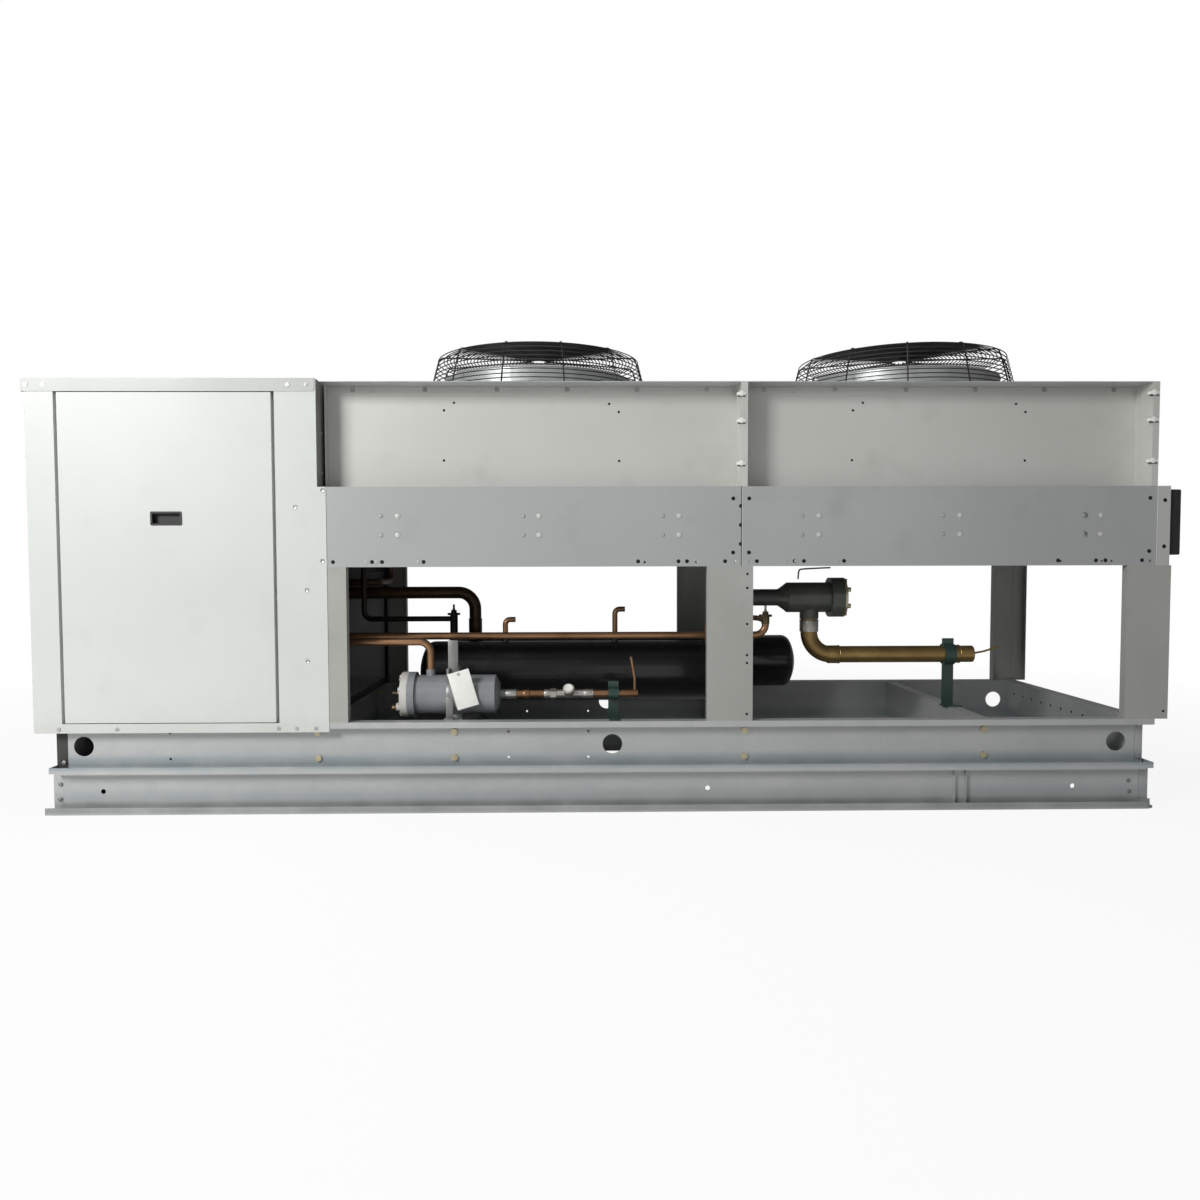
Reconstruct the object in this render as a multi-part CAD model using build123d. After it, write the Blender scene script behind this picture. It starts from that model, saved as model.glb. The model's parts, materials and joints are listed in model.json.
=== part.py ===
from build123d import *
import math
import os

# Refrigeration condensing unit: a folded steel cabinet with the compressor, beside two
# fan modules on legs that draw air up through a flat condenser coil. The pressure vessels,
# driers and pipes stand in the open bays under the coil. Millimetres. +X runs along the
# unit from the cabinet, +Y to its rear, +Z up. The origin is the centre of its footprint.

# Lengths along the unit
LID_OVERHANG = 12.0
CABINET_WIDTH = 1037.0
POST_STEP = 31.0
CABINET_GAP = 10.0
MODULE_LENGTH = 1524.0
END_FLANGE = 49.0
END_COVER_DEPTH = 47.0
BASE_INSET = 48.0
BASE_LENGTH = 4057.0
SKID_INSET = 28.0
SKID_TOE = 46.0

# Depth and heights
CASE_DEPTH = 1118.0
SKID_HEIGHT = 152.0
RAIL_HEIGHT = 184.0
LEG_HEIGHT = 567.0
BAND_HEIGHT = 290.0
PLENUM_HEIGHT = 378.0
PLENUM_RECESS = 105.0
LID_RISE = 10.0
LID_LIP = 47.0
SKIRT_LAP = 34.0

# Sheet and section sizes
SHEET = 2.0
GAUGE = 4.0
RAIL_FLANGE = 50.0
RAIL_LIP = 22.0
CROSS_FLANGE = 46.0
LEG_WIDTH = 160.0
END_LEG_WIDTH = 89.0
LEG_RETURN = 35.0
LEG_OVERHANG = 8.0
LEG_SHEET = 3.0

# Clearances
SEAT = 0.3
PANEL_GAP = 12.0
HOLE_CLEARANCE = 1.0

# Holes and bolts in the base
LIFT_HOLE_DIAMETER = 73.0
LIFT_HOLE_INSET = 104.0
BOLT_DIAMETER = 12.0
BOLT_HEAD_DIAMETER = 24.0
BOLT_HEAD_HEIGHT = 7.0
BOLT_LENGTH = 26.0
BOLT_SPACING = 96.0
CROSS_MEMBERS = (965.0, 1468.0, 2545.0, 3441.0)
SPARE_HOLES = (421.0, 1668.0, 1964.0)
SPARE_HOLE_DIAMETER = 9.0
SKID_HOLES = (171.0, 2409.0, 3781.0)
SKID_HOLE_DIAMETER = 18.0
STIFFENER_WIDTH = 44.0
STIFFENER_DEPTH = 16.0
STIFFENER_SETBACK = 89.0

# Access panel
PANEL_WIDTH = 762.0
PANEL_INSET = 114.0
DOOR_FIT = 0.3
FRAME_LEDGE = 34.0
FRAME_CHANNEL = 26.0
PULL_WIDTH = 103.0
PULL_HEIGHT = 40.0
PULL_DEPTH = 20.0
PULL_RIM = 5.0
PULL_Z = 1080.0

# Cabinet details
SIDE_OPENING_EDGE = 60.0
LID_CORNER = 10.0
LOUVRES = 6
LOUVRE_HEIGHT = 8.0
LOUVRE_PITCH = 34.0
LOUVRE_WIDTH = 420.0
PAN_RIM = 30.0
SCREW_HEAD = 14.0

# Compressor and controls
BARREL_RADIUS = 120.0
CRANKCASE_LENGTH = 330.0
CRANKCASE_WIDTH = 300.0
CRANKCASE_HEIGHT = 260.0
FOOT_HEIGHT = 40.0
HEADS = 3
HEAD_WIDTH = 250.0
VALVE_WIDTH = 70.0
VALVE_BOSS = 8.0
CONTROL_SETBACK = 60.0
CONTROL_DEPTH = 200.0
CONTACTORS = 5
CONTACTOR_PITCH = 140.0

# Coil
HEADER_RADIUS = 17.0
HEADER_SPACE = 70.0
HEADER_END = 80.0
FIN_RISE = 40.0
FIN_HEIGHT = 130.0
FIN_EDGE = 14.0
TUBE_INSET = 25.0
BAND_RETURN = 30.0
BAND_HOLES = (22.0, 164.0, 200.0, 352.0)
BAND_HOLE_DIAMETER = 9.0
FEEDER_RADIUS = 6.0
BEND_REACH = 30.0
FEEDERS = 6
RETURN_BENDS = 6
BEND_PITCH = 32.0
PANEL_FLANGE = 40.0
JOINT_FLANGE = 24.0

# Fans and guards
COLLAR_RADIUS = 391.0
COLLAR_RISE = 94.0
COLLAR_BELL = 32.0
FAN_RADIUS = 381.0
FAN_BLADES = 4
HUB_RADIUS = 62.0
HUB_HEIGHT = 46.0
BLADE_THICKNESS = 3.0
BLADE_ROOT_CHORD = 150.0
BLADE_TIP_CHORD = 250.0
ROOT_PITCH = 38.0
TIP_PITCH = 22.0
BLADE_CAMBER = 0.09
FAN_PLANE = 52.0
SHAFT_DIAMETER = 16.0
SHAFT_FIT = 0.05
SHAFT_SEAT = 60.0
MOTOR_RADIUS = 82.0
MOTOR_HEIGHT = 190.0
MOTOR_GAP = 14.0
MOUNT_RAIL = 40.0
GUARD_RADIUS = 462.0
GUARD_SHOULDER = 416.0
GUARD_RISE = 180.0
GUARD_CROWN = 14.0
GUARD_WIRE = 5.0
GUARD_HUB_RADIUS = 70.0
GUARD_RIBS = 12
GUARD_TOP_RINGS = 7
GUARD_SIDE_RINGS = 4
RING_SIDES = 24

# Vessels and pipes
VESSEL_Z = 466.0
RECEIVER_Y = 480.0
RECEIVER_RADIUS = 124.0
RECEIVER_LENGTH = 1330.0
RECEIVER_INSET = 269.0
ACCUMULATOR_Y = 830.0
ACCUMULATOR_RADIUS = 116.0
ACCUMULATOR_LENGTH = 1560.0
ACCUMULATOR_INSET = 346.0
SADDLE_WIDTH = 40.0
DRIER_Y = 150.0
DRIER_Z = 417.0
DRIER_RADIUS = 74.0
DRIER_LENGTH = 327.0
DRIER_INSET = 261.0
DRIER_FLANGE_RADIUS = 86.0
DRIER_FLANGE = 26.0
LIQUID_OD = 28.6
LONG_PIPE_Y = 300.0
LONG_PIPE_Z = 627.0
DRIER_INLET_Z = 618.0
SUCTION_OD = 66.7
SUCTION_Y = 340.0
SUCTION_Z = 544.0
FILTER_Z = 775.0
FILTER_RADIUS = 60.0
FILTER_LENGTH = 170.0
FILTER_FLANGE_RADIUS = 79.0
SUCTION_RETURN_OD = 54.0
SUCTION_RETURN_Z = 781.0

# Fittings
HEAD_CROWN = 1.8
HEAD_KNUCKLE = 0.34
NOZZLE_RADIUS = 19.0
NOZZLE_HEIGHT = 12.0
NOZZLE_ROOT = 30.0
RELIEF_PLACES = (352.0, 809.0)
RELIEF_RISES = (70.0, 112.0)
RELIEF_RADIUS = 13.0
RELIEF_OD = 22.0
RELIEF_BEND = 20.0
RELIEF_RUN = 42.0
RELIEF_NECK = 20.0
DRIER_CONE = 15.0
PORT_RADIUS = 7.0
PORT_REACH = 98.0
TAG_WIDTH = 83.0
TAG_LENGTH = 148.0
TAG_CARD = 1.0
TAG_LEAN = 17.0
TAG_WIRE = 1.2
TAG_STAND_OFF = 12.0
TAG_SHIFT = 76.0
TAG_RISE = 31.0
DRIER_SPIGOT = 17.0
DRIER_BOLTS = 8
LIQUID_BEND = 42.0
DRAIN_OD = 22.0
DRAIN_BEND = 32.0
PIPE_RETURN_DEPTH = 130.0
VALVE_BODY = 16.0
STEM_RADIUS = 6.0
GLAND_HEIGHT = 12.0
SIGHT_LENGTH = 150.0
SUCTION_BEND = 90.0
SUCTION_RETURN_BEND = 75.0
FILTER_NOZZLE = 26.0
FILTER_FLANGE = 50.0
FILTER_PLATE = 9.0
FILTER_BOLTS = 6
DISCHARGE_OD = 33.0
DISCHARGE_Z = 830.0
DISCHARGE_BEND = 45.0
DISCHARGE_Y = 430.0

# Positions worked out from the sizes above
OVERALL_LENGTH = (
    LID_OVERHANG + CABINET_WIDTH + CABINET_GAP + 2 * MODULE_LENGTH + END_FLANGE + END_COVER_DEPTH
)
X_CABINET = LID_OVERHANG - OVERALL_LENGTH / 2
X_CABINET_END = X_CABINET + CABINET_WIDTH
X_CASE = X_CABINET_END + CABINET_GAP
X_JOINT = X_CASE + MODULE_LENGTH
X_CASE_END = X_CASE + 2 * MODULE_LENGTH
X_COVER = X_CASE_END + END_FLANGE
X_BASE = X_CABINET + BASE_INSET
X_BASE_END = X_BASE + BASE_LENGTH
FRONT = -CASE_DEPTH / 2
REAR = CASE_DEPTH / 2
Z_RAIL = SKID_HEIGHT
Z_DECK = SKID_HEIGHT + RAIL_HEIGHT
Z_BAND = Z_DECK + LEG_HEIGHT
FIN_Z = Z_BAND + FIN_RISE
Z_PLENUM = Z_BAND + BAND_HEIGHT
Z_TOP = Z_PLENUM + PLENUM_HEIGHT
Z_LID = Z_TOP + LID_RISE
PLENUM_FRONT = FRONT + PLENUM_RECESS
FAN_CENTRES = (X_CASE + MODULE_LENGTH / 2, X_JOINT + MODULE_LENGTH / 2)
Z_CONTROL = Z_BAND + 100
HEAD_BASE_Z = Z_DECK + SHEET + FOOT_HEIGHT + CRANKCASE_HEIGHT
X_SUCTION_VALVE = X_CABINET + 240
X_DISCHARGE = X_CABINET + 720
SUCTION_VALVE_Z = HEAD_BASE_Z + 10
DISCHARGE_VALVE_Z = HEAD_BASE_Z + 62
OUTLET_HEADER_Z = FIN_Z + TUBE_INSET
INLET_HEADER_Z = FIN_Z + FIN_HEIGHT - TUBE_INSET
X_HEADER = X_CASE + HEADER_SPACE / 2
LONG_PIPE_DEPTH = FRONT + LONG_PIPE_Y
SUCTION_DEPTH = FRONT + SUCTION_Y
VALVE_BODY_LOW = LONG_PIPE_Z + LIQUID_BEND + 2
VALVE_PORT_Z = 684.0
BONNET_Z = VALVE_PORT_Z + 16
X_INLET_VALVE = X_CASE + 407
X_OUTLET_VALVE = X_JOINT + 149
X_OUTLET_NOZZLE = X_JOINT - 60
X_ACCUMULATOR_OUT = X_CASE + 453
X_ACCUMULATOR_IN = X_JOINT + 29
X_DRIER_INLET = X_CASE + 366
X_DRIER_OUT = X_CASE + DRIER_INSET + DRIER_FLANGE + DRIER_LENGTH + 2.5 * DRIER_CONE
X_SERVICE_PORT = X_DRIER_INLET + 66
DRIER_NOZZLE_TOP = DRIER_Z + DRIER_RADIUS + 22
X_SIGHT = X_CASE + 809
X_LIQUID_STUB = X_CASE + 1155
X_LIQUID_CLAMP = X_CASE + 1062
X_FILTER = X_JOINT + 241
X_FILTER_NOZZLE = X_FILTER + 92
X_SUCTION_STUB = X_JOINT + 996


def block(x0, x1, y0, y1, z0, z1):
    """Rectangular piece between three pairs of planes."""
    middle = Pos((x0 + x1) / 2, (y0 + y1) / 2, (z0 + z1) / 2)
    return middle * Box(x1 - x0, y1 - y0, z1 - z0)


def rod(x, y, z, radius, length, axis):
    """Round bar that starts at a point and runs along an axis."""
    start = Plane((x, y, z), z_dir=axis)
    return extrude(start * Circle(radius), length)


def folded(plane, points, thickness, length):
    """Sheet bent along points drawn on a plane, drawn out by length along the plane's normal."""
    outline = offset(
        Polyline(*points), thickness, kind=Kind.INTERSECTION, side=Side.LEFT, closed=True
    )
    return extrude(plane * make_face(outline), length, dir=plane.z_dir)


def section_x(x):
    """Plane across the unit at x, drawn in (y, z)."""
    return Plane((x, 0, 0), x_dir=(0, 1, 0), z_dir=(1, 0, 0))


def section_y(y):
    """Plane along the unit at y, drawn in (x, z) and facing the front."""
    return Plane((0, y, 0), x_dir=(1, 0, 0), z_dir=(0, -1, 0))


def to_rear(piece):
    """Mirror image at the rear of the unit."""
    return mirror(piece, about=Plane.XZ)


def punched(piece, centres, diameter, axis, depth=200.0):
    """Piece with one round hole through each centre."""
    for x, y, z in centres:
        direction = Vector(*axis)
        start = Vector(x, y, z) - direction * (depth / 2)
        piece = piece - rod(start.X, start.Y, start.Z, diameter / 2, depth, axis)
    return piece


def pipe(points, diameter, bend):
    """Solid round pipe through points, with bends of one radius."""
    if len(points) == 2:
        route = Polyline(*points)
    else:
        route = FilletPolyline(*points, radius=bend)
    start = Plane(points[0], z_dir=Vector(*points[1]) - Vector(*points[0]))
    return sweep(start * Circle(diameter / 2), path=route)


def save(name, shape):
    """Write one sub-part as its own file."""
    os.makedirs("parts", exist_ok=True)
    export_step(shape, "parts/" + name + ".step")


# ---------------------------------------------------------------- base and skid

BOLT_HEIGHTS = (
    Z_RAIL + (RAIL_HEIGHT - BOLT_SPACING) / 2,
    Z_RAIL + (RAIL_HEIGHT + BOLT_SPACING) / 2,
)
WEB_FRONT = FRONT + RAIL_FLANGE
LIFT_HOLES = (
    X_BASE + LIFT_HOLE_INSET,
    X_BASE + BASE_LENGTH / 2 + 25,
    X_BASE_END - LIFT_HOLE_INSET - 12,
)


def prism(corners, z0, z1):
    """Upright prism over a polygon."""
    outline = make_face(Polyline(*corners, close=True))
    return Pos(0, 0, z0) * extrude(outline, z1 - z0, dir=(0, 0, 1))


def mitre(x0, x1, y0, depth, z0, z1):
    """Trapezoid block whose ends slope inward at 45 degrees over the depth."""
    corners = ((x0, y0), (x1, y0), (x1 - depth, y0 + depth), (x0 + depth, y0 + depth))
    return prism(corners, z0, z1)


def rail_points(bottom, top):
    """Lipped channel, open to the front: lip, flange, web, flange, lip."""
    return (
        (FRONT, top - RAIL_LIP),
        (FRONT, top),
        (WEB_FRONT, top),
        (WEB_FRONT, bottom),
        (FRONT, bottom),
        (FRONT, bottom + RAIL_LIP),
    )


def base_rail():
    """Front rail of the base, mitred at both ends, with lifting and bolt holes in its web."""
    profile = [(y, z) for y, z in reversed(rail_points(Z_RAIL, Z_DECK))]
    rail = folded(section_x(X_BASE), profile, GAUGE, BASE_LENGTH)
    rail = rail & mitre(X_BASE, X_BASE_END, FRONT, RAIL_FLANGE, Z_RAIL, Z_DECK)
    middle = Z_RAIL + RAIL_HEIGHT / 2
    lifting = [(x, WEB_FRONT, middle) for x in LIFT_HOLES]
    rail = punched(rail, lifting, LIFT_HOLE_DIAMETER, (0, 1, 0))
    bolts = [(X_BASE + x, WEB_FRONT, z) for x in CROSS_MEMBERS for z in BOLT_HEIGHTS]
    rail = punched(rail, bolts, BOLT_DIAMETER + HOLE_CLEARANCE, (0, 1, 0))
    spare = [(X_BASE + x, WEB_FRONT, z) for x in SPARE_HOLES for z in BOLT_HEIGHTS]
    return punched(rail, spare, SPARE_HOLE_DIAMETER, (0, 1, 0))


def base_end():
    """Left end channel of the base, mitred to meet both rails."""
    profile = [(y - FRONT + X_BASE, z) for y, z in reversed(rail_points(Z_RAIL, Z_DECK))]
    channel = folded(section_y(REAR), profile, GAUGE, CASE_DEPTH)
    inner = X_BASE + RAIL_FLANGE
    corners = ((X_BASE, FRONT), (inner, WEB_FRONT), (inner, -WEB_FRONT), (X_BASE, REAR))
    return channel & prism(corners, Z_RAIL, Z_DECK)


def cross_member(x):
    """Channel between the two rails, with a tab at each end that bolts to the rail's web."""
    right = x + CROSS_FLANGE / 2
    left = x - CROSS_FLANGE / 2
    low, high = Z_RAIL + GAUGE, Z_DECK - GAUGE
    profile = ((right, high), (left, high), (left, low), (right, low))
    inner = -WEB_FRONT
    member = folded(section_y(inner), profile, GAUGE, 2 * inner)
    for y0, y1 in ((WEB_FRONT, WEB_FRONT + GAUGE), (inner - GAUGE, inner)):
        member = member + block(left, right, y0, y1, low, high)
    holes = [(x, 0, z) for z in BOLT_HEIGHTS]
    return punched(member, holes, BOLT_DIAMETER + HOLE_CLEARANCE, (0, 1, 0), 2 * CASE_DEPTH)


def bolt(x, y, z):
    """Dome-head bolt through a rail web and a tab, with its nut, head to the front."""
    head = rod(x, y - BOLT_HEAD_HEIGHT, z, BOLT_HEAD_DIAMETER / 2, BOLT_HEAD_HEIGHT, (0, 1, 0))
    shank = rod(x, y, z, BOLT_DIAMETER / 2, BOLT_LENGTH, (0, 1, 0))
    nut_plane = Plane((x, y + 2 * GAUGE, z), z_dir=(0, 1, 0))
    nut = extrude(nut_plane * RegularPolygon(BOLT_HEAD_DIAMETER / 2 - 1, 6), BOLT_DIAMETER * 0.8)
    return head + shank + nut


def skid_rail():
    """Front skid rail: web, plain top flange, and a toe with a lip that slopes off at the left
    end and is rounded at the right end."""
    profile = (
        (FRONT, RAIL_LIP + GAUGE),
        (FRONT, 0),
        (WEB_FRONT, 0),
        (WEB_FRONT, SKID_HEIGHT),
        (FRONT, SKID_HEIGHT),
    )
    x0 = X_BASE + SKID_INSET - SKID_TOE
    x1 = X_BASE_END - SKID_INSET + SKID_TOE
    rail = folded(section_x(x0), profile, GAUGE, x1 - x0)
    upper = block(x0, x0 + SKID_TOE, FRONT, REAR, RAIL_LIP + GAUGE, SKID_HEIGHT)
    upper = upper + block(x1 - SKID_TOE, x1, FRONT, REAR, RAIL_LIP + GAUGE, SKID_HEIGHT)
    bevel = prism(((x0, FRONT), (x0 + SKID_TOE, WEB_FRONT), (x0, WEB_FRONT)), 0, SKID_HEIGHT)
    toe = block(x1 - SKID_TOE, x1, FRONT, WEB_FRONT, 0, RAIL_LIP + GAUGE)
    toe = toe - rod(x1 - SKID_TOE, WEB_FRONT, 0, RAIL_FLANGE, SKID_HEIGHT, (0, 0, 1))
    rail = rail - upper - bevel - toe
    holes = [(X_BASE + x, WEB_FRONT, SKID_HEIGHT / 2) for x in SKID_HOLES]
    return punched(rail, holes, SKID_HOLE_DIAMETER, (0, 1, 0))


def skid_tie(x):
    """Channel between the two skid rails."""
    half = CROSS_FLANGE / 2
    low, high = GAUGE, SKID_HEIGHT - GAUGE
    profile = ((x + half, high), (x - half, high), (x - half, low), (x + half, low))
    return folded(section_y(-WEB_FRONT), profile, GAUGE, -2 * WEB_FRONT)


def skid_stiffener(x):
    """Small upright channel in the mouth of the skid rail that backs its joint."""
    half = STIFFENER_WIDTH / 2
    back = WEB_FRONT - GAUGE
    face = back - STIFFENER_DEPTH
    profile = ((x + half, face), (x + half, back), (x - half, back), (x - half, face))
    channel = folded(Plane.XY, profile, SHEET, SKID_HEIGHT - 2 * GAUGE)
    return Pos(0, 0, GAUGE) * channel


def build_base():
    front = base_rail()
    save("base_rail_front", front)
    save("base_rail_rear", to_rear(front))
    left = base_end()
    save("base_end_left", left)
    save("base_end_right", mirror(left, about=Plane((X_BASE + BASE_LENGTH / 2, 0, 0), z_dir=(1, 0, 0))))
    save("base_cross_members", Compound([cross_member(X_BASE + x) for x in CROSS_MEMBERS]))
    bolts = [bolt(X_BASE + x, WEB_FRONT - GAUGE, z) for x in CROSS_MEMBERS for z in BOLT_HEIGHTS]
    save("base_bolts", Compound(bolts + [to_rear(one) for one in bolts]))
    skid = skid_rail()
    save("skid_rail_front", skid)
    save("skid_rail_rear", to_rear(skid))
    ends = (SKID_INSET + CROSS_FLANGE / 2, BASE_LENGTH - SKID_INSET - CROSS_FLANGE / 2)
    ties = [skid_tie(X_BASE + x) for x in ends + CROSS_MEMBERS]
    stiffener = skid_stiffener(X_BASE + CROSS_MEMBERS[3] - STIFFENER_SETBACK)
    save("skid_ties", Compound(ties + [stiffener, to_rear(stiffener)]))


# ---------------------------------------------------------------- legs

LEG_PLACES = (
    (X_CASE, END_LEG_WIDTH),
    (X_JOINT - 124, LEG_WIDTH + 8),
    (X_COVER + LEG_OVERHANG - LEG_WIDTH, LEG_WIDTH),
)


def leg(x, width):
    """Front leg: a channel with its face to the front and its returns turned inward."""
    profile = (
        (x, FRONT + LEG_RETURN),
        (x, FRONT),
        (x + width, FRONT),
        (x + width, FRONT + LEG_RETURN),
    )
    channel = folded(Plane.XY, profile, LEG_SHEET, LEG_HEIGHT)
    foot = block(x, x + width, FRONT, FRONT + LEG_RETURN, 0, LEG_SHEET)
    return Pos(0, 0, Z_DECK) * (channel + foot)


def build_legs():
    for name, (x, width) in zip(("left", "middle", "right"), LEG_PLACES):
        save("leg_front_" + name, leg(x, width))
    save("legs_rear", Compound([to_rear(leg(x, width)) for x, width in LEG_PLACES]))


# ---------------------------------------------------------------- cabinet

X_POST = X_CABINET_END + POST_STEP
X_PANEL = X_CABINET + PANEL_INSET
X_PANEL_END = X_PANEL + PANEL_WIDTH
Z_LIP = Z_LID - LID_LIP
Z_SKIRT = Z_DECK - SKIRT_LAP
SKIN = FRONT - SHEET
PANEL_TRAY = FRAME_CHANNEL - DOOR_FIT
PANEL_BOTTOM = Z_DECK + PANEL_GAP / 4
PANEL_TOP = Z_LIP - PANEL_GAP / 4


def front_frame():
    """Front sheet of the cabinet: wider below the coil casing, with a channel round the
    access panel's opening and a return down the left side."""
    outline = (
        (X_CABINET, Z_SKIRT),
        (X_POST, Z_SKIRT),
        (X_POST, Z_PLENUM),
        (X_CABINET_END, Z_PLENUM),
        (X_CABINET_END, Z_LID - SHEET),
        (X_CABINET, Z_LID - SHEET),
    )
    face = make_face(Polyline(*outline, close=True))
    skin = extrude(section_y(FRONT) * face, SHEET, dir=(0, -1, 0))
    x0, x1 = X_PANEL - PANEL_GAP, X_PANEL_END + PANEL_GAP
    opening = (Z_DECK, Z_LIP)
    skin = skin - block(x0, x1, SKIN - 1, REAR, opening[0], opening[1])
    back = SKIN + FRAME_CHANNEL
    jamb = ((x0, SKIN + SHEET), (x0, back), (x0 + FRAME_LEDGE, back))
    left = folded(Plane.XY, jamb, SHEET, opening[1] - opening[0])
    left = Pos(0, 0, opening[0]) * left
    centre = Plane(((x0 + x1) / 2, 0, 0), z_dir=(1, 0, 0))
    return skin + left + mirror(left, about=centre)


def access_panel():
    """Lift-off door: a tray with folded edges and a slot for the recessed pull."""
    face = block(X_PANEL, X_PANEL_END, SKIN, SKIN + PANEL_TRAY, PANEL_BOTTOM, PANEL_TOP)
    hollow = block(
        X_PANEL + SHEET,
        X_PANEL_END - SHEET,
        SKIN + SHEET,
        REAR,
        PANEL_BOTTOM + SHEET,
        PANEL_TOP - SHEET,
    )
    middle = X_PANEL + PANEL_WIDTH / 2
    slot = block(
        middle - PULL_WIDTH / 2,
        middle + PULL_WIDTH / 2,
        SKIN - 1,
        SKIN + PANEL_TRAY,
        PULL_Z - PULL_HEIGHT / 2,
        PULL_Z + PULL_HEIGHT / 2,
    )
    return face - hollow - slot


def pull_handle():
    """Moulded finger cup that clips into the access panel, with a flange on its face."""
    middle = X_PANEL + PANEL_WIDTH / 2
    place = section_y(SKIN) * Pos(middle, PULL_Z)
    rim_size = (PULL_WIDTH + 2 * PULL_RIM, PULL_HEIGHT + 2 * PULL_RIM)
    rim = extrude(place * RectangleRounded(*rim_size, PULL_RIM), SHEET, dir=(0, -1, 0))
    cup = extrude(place * Rectangle(PULL_WIDTH, PULL_HEIGHT), PULL_DEPTH, dir=(0, 1, 0))
    hollow_size = (PULL_WIDTH - 2 * SHEET, PULL_HEIGHT - 2 * SHEET)
    hollow = extrude(place * Rectangle(*hollow_size), PULL_DEPTH - SHEET, dir=(0, 1, 0))
    mouth = extrude(place * Rectangle(*hollow_size), SHEET, dir=(0, -1, 0))
    return rim + cup - hollow - mouth


def side_sheet():
    """Left side of the cabinet, with returns at front and rear."""
    profile = (
        (X_CABINET + LEG_RETURN, -FRONT),
        (X_CABINET, -FRONT),
        (X_CABINET, FRONT),
        (X_CABINET + LEG_RETURN, FRONT),
    )
    return Pos(0, 0, Z_SKIRT) * folded(Plane.XY, profile, SHEET, Z_LID - SHEET - Z_SKIRT)


def right_wall():
    """Wall between the cabinet and the fan modules, open below where the pipes pass."""
    x = X_CABINET_END
    wall = block(x - SHEET, x, FRONT, REAR, Z_DECK, Z_LID - SHEET)
    edge = SIDE_OPENING_EDGE
    low, high = Z_DECK + edge / 2, Z_BAND - edge / 2
    return wall - block(x - 10, x + 10, FRONT + edge, REAR - edge, low, high)


def rear_panel():
    """Rear sheet of the cabinet, with louvres that vent the compressor."""
    sheet = block(X_CABINET, X_POST, REAR, REAR + SHEET, Z_SKIRT, Z_PLENUM)
    sheet = sheet + block(X_CABINET, X_CABINET_END, REAR, REAR + SHEET, Z_PLENUM, Z_LID - SHEET)
    middle = (X_CABINET + X_CABINET_END) / 2
    for row in range(LOUVRES):
        z = Z_BAND - LOUVRE_PITCH * row
        x0, x1 = middle - LOUVRE_WIDTH / 2, middle + LOUVRE_WIDTH / 2
        sheet = sheet - block(x0, x1, REAR - 1, REAR + 9, z - LOUVRE_HEIGHT, z)
    return sheet


def cabinet_lid():
    """Folded lid with lips on three sides and rounded lip ends."""
    x0, x1 = X_CABINET - LID_OVERHANG, X_CABINET_END - SHEET * 2
    y = FRONT - SHEET * 2 - SEAT
    lid = block(x0, x1, y, -y, Z_LIP, Z_LID)
    lid = lid - block(x0 + SHEET, x1 + 1, y + SHEET, -y - SHEET, Z_LIP - 1, Z_LID - SHEET)
    corner = LID_CORNER
    for x, centre in ((x0, x0 + corner), (x1, x1 - corner)):
        notch = block(min(x, centre), max(x, centre), y - 1, 1 - y, Z_LIP, Z_LIP + corner)
        notch = notch - rod(centre, y - 1, Z_LIP + corner, corner, CASE_DEPTH + 20, (0, 1, 0))
        lid = lid - (notch - block(x0, x0 + SHEET, y + SHEET, -y - SHEET, Z_LIP, Z_LID))
    return lid


def floor_pan():
    """Shallow tray on the base that the compressor's rails stand on."""
    x0, x1 = X_CABINET + BASE_INSET, X_CABINET_END - SHEET
    pan = block(x0, x1, WEB_FRONT, -WEB_FRONT, Z_DECK, Z_DECK + PAN_RIM)
    return pan - block(x0 + SHEET, x1 - SHEET, WEB_FRONT + SHEET, -WEB_FRONT - SHEET, Z_DECK + SHEET, Z_TOP)


def screw_heads(centres, axis):
    """Washer-head screws on the sheets, each a low round head."""
    return [rod(x, y, z, SCREW_HEAD / 2, SHEET, axis) for x, y, z in centres]


def cabinet_screws():
    """Screws along the lid's front lip and the cabinet's bottom skirt, front and rear."""
    lip_y = FRONT - SHEET * 2 - SEAT
    lip_x = [X_CABINET + x for x in (8, 70, 938, 1003)]
    heads = screw_heads([(x, lip_y, Z_LIP + LID_LIP / 2) for x in lip_x], (0, -1, 0))
    skirt_x = [X_CABINET + x for x in (90, 300, 885, 950, 1020)]
    heads = heads + screw_heads([(x, SKIN, Z_SKIRT + 14) for x in skirt_x], (0, -1, 0))
    return heads + [to_rear(head) for head in heads]


def build_cabinet():
    save("cabinet_front_frame", front_frame())
    save("access_panel", access_panel())
    save("pull_handle", pull_handle())
    save("cabinet_left_side", side_sheet())
    save("cabinet_right_wall", right_wall())
    save("cabinet_rear_panel", rear_panel())
    save("cabinet_lid", cabinet_lid())
    save("cabinet_floor_pan", floor_pan())
    save("cabinet_screws", Compound(cabinet_screws()))


# ---------------------------------------------------------------- compressor and controls

X_COMPRESSOR = X_CABINET + 500
Z_PAN = Z_DECK + SHEET
COMPRESSOR_Z = Z_PAN + FOOT_HEIGHT + CRANKCASE_HEIGHT / 2


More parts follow.
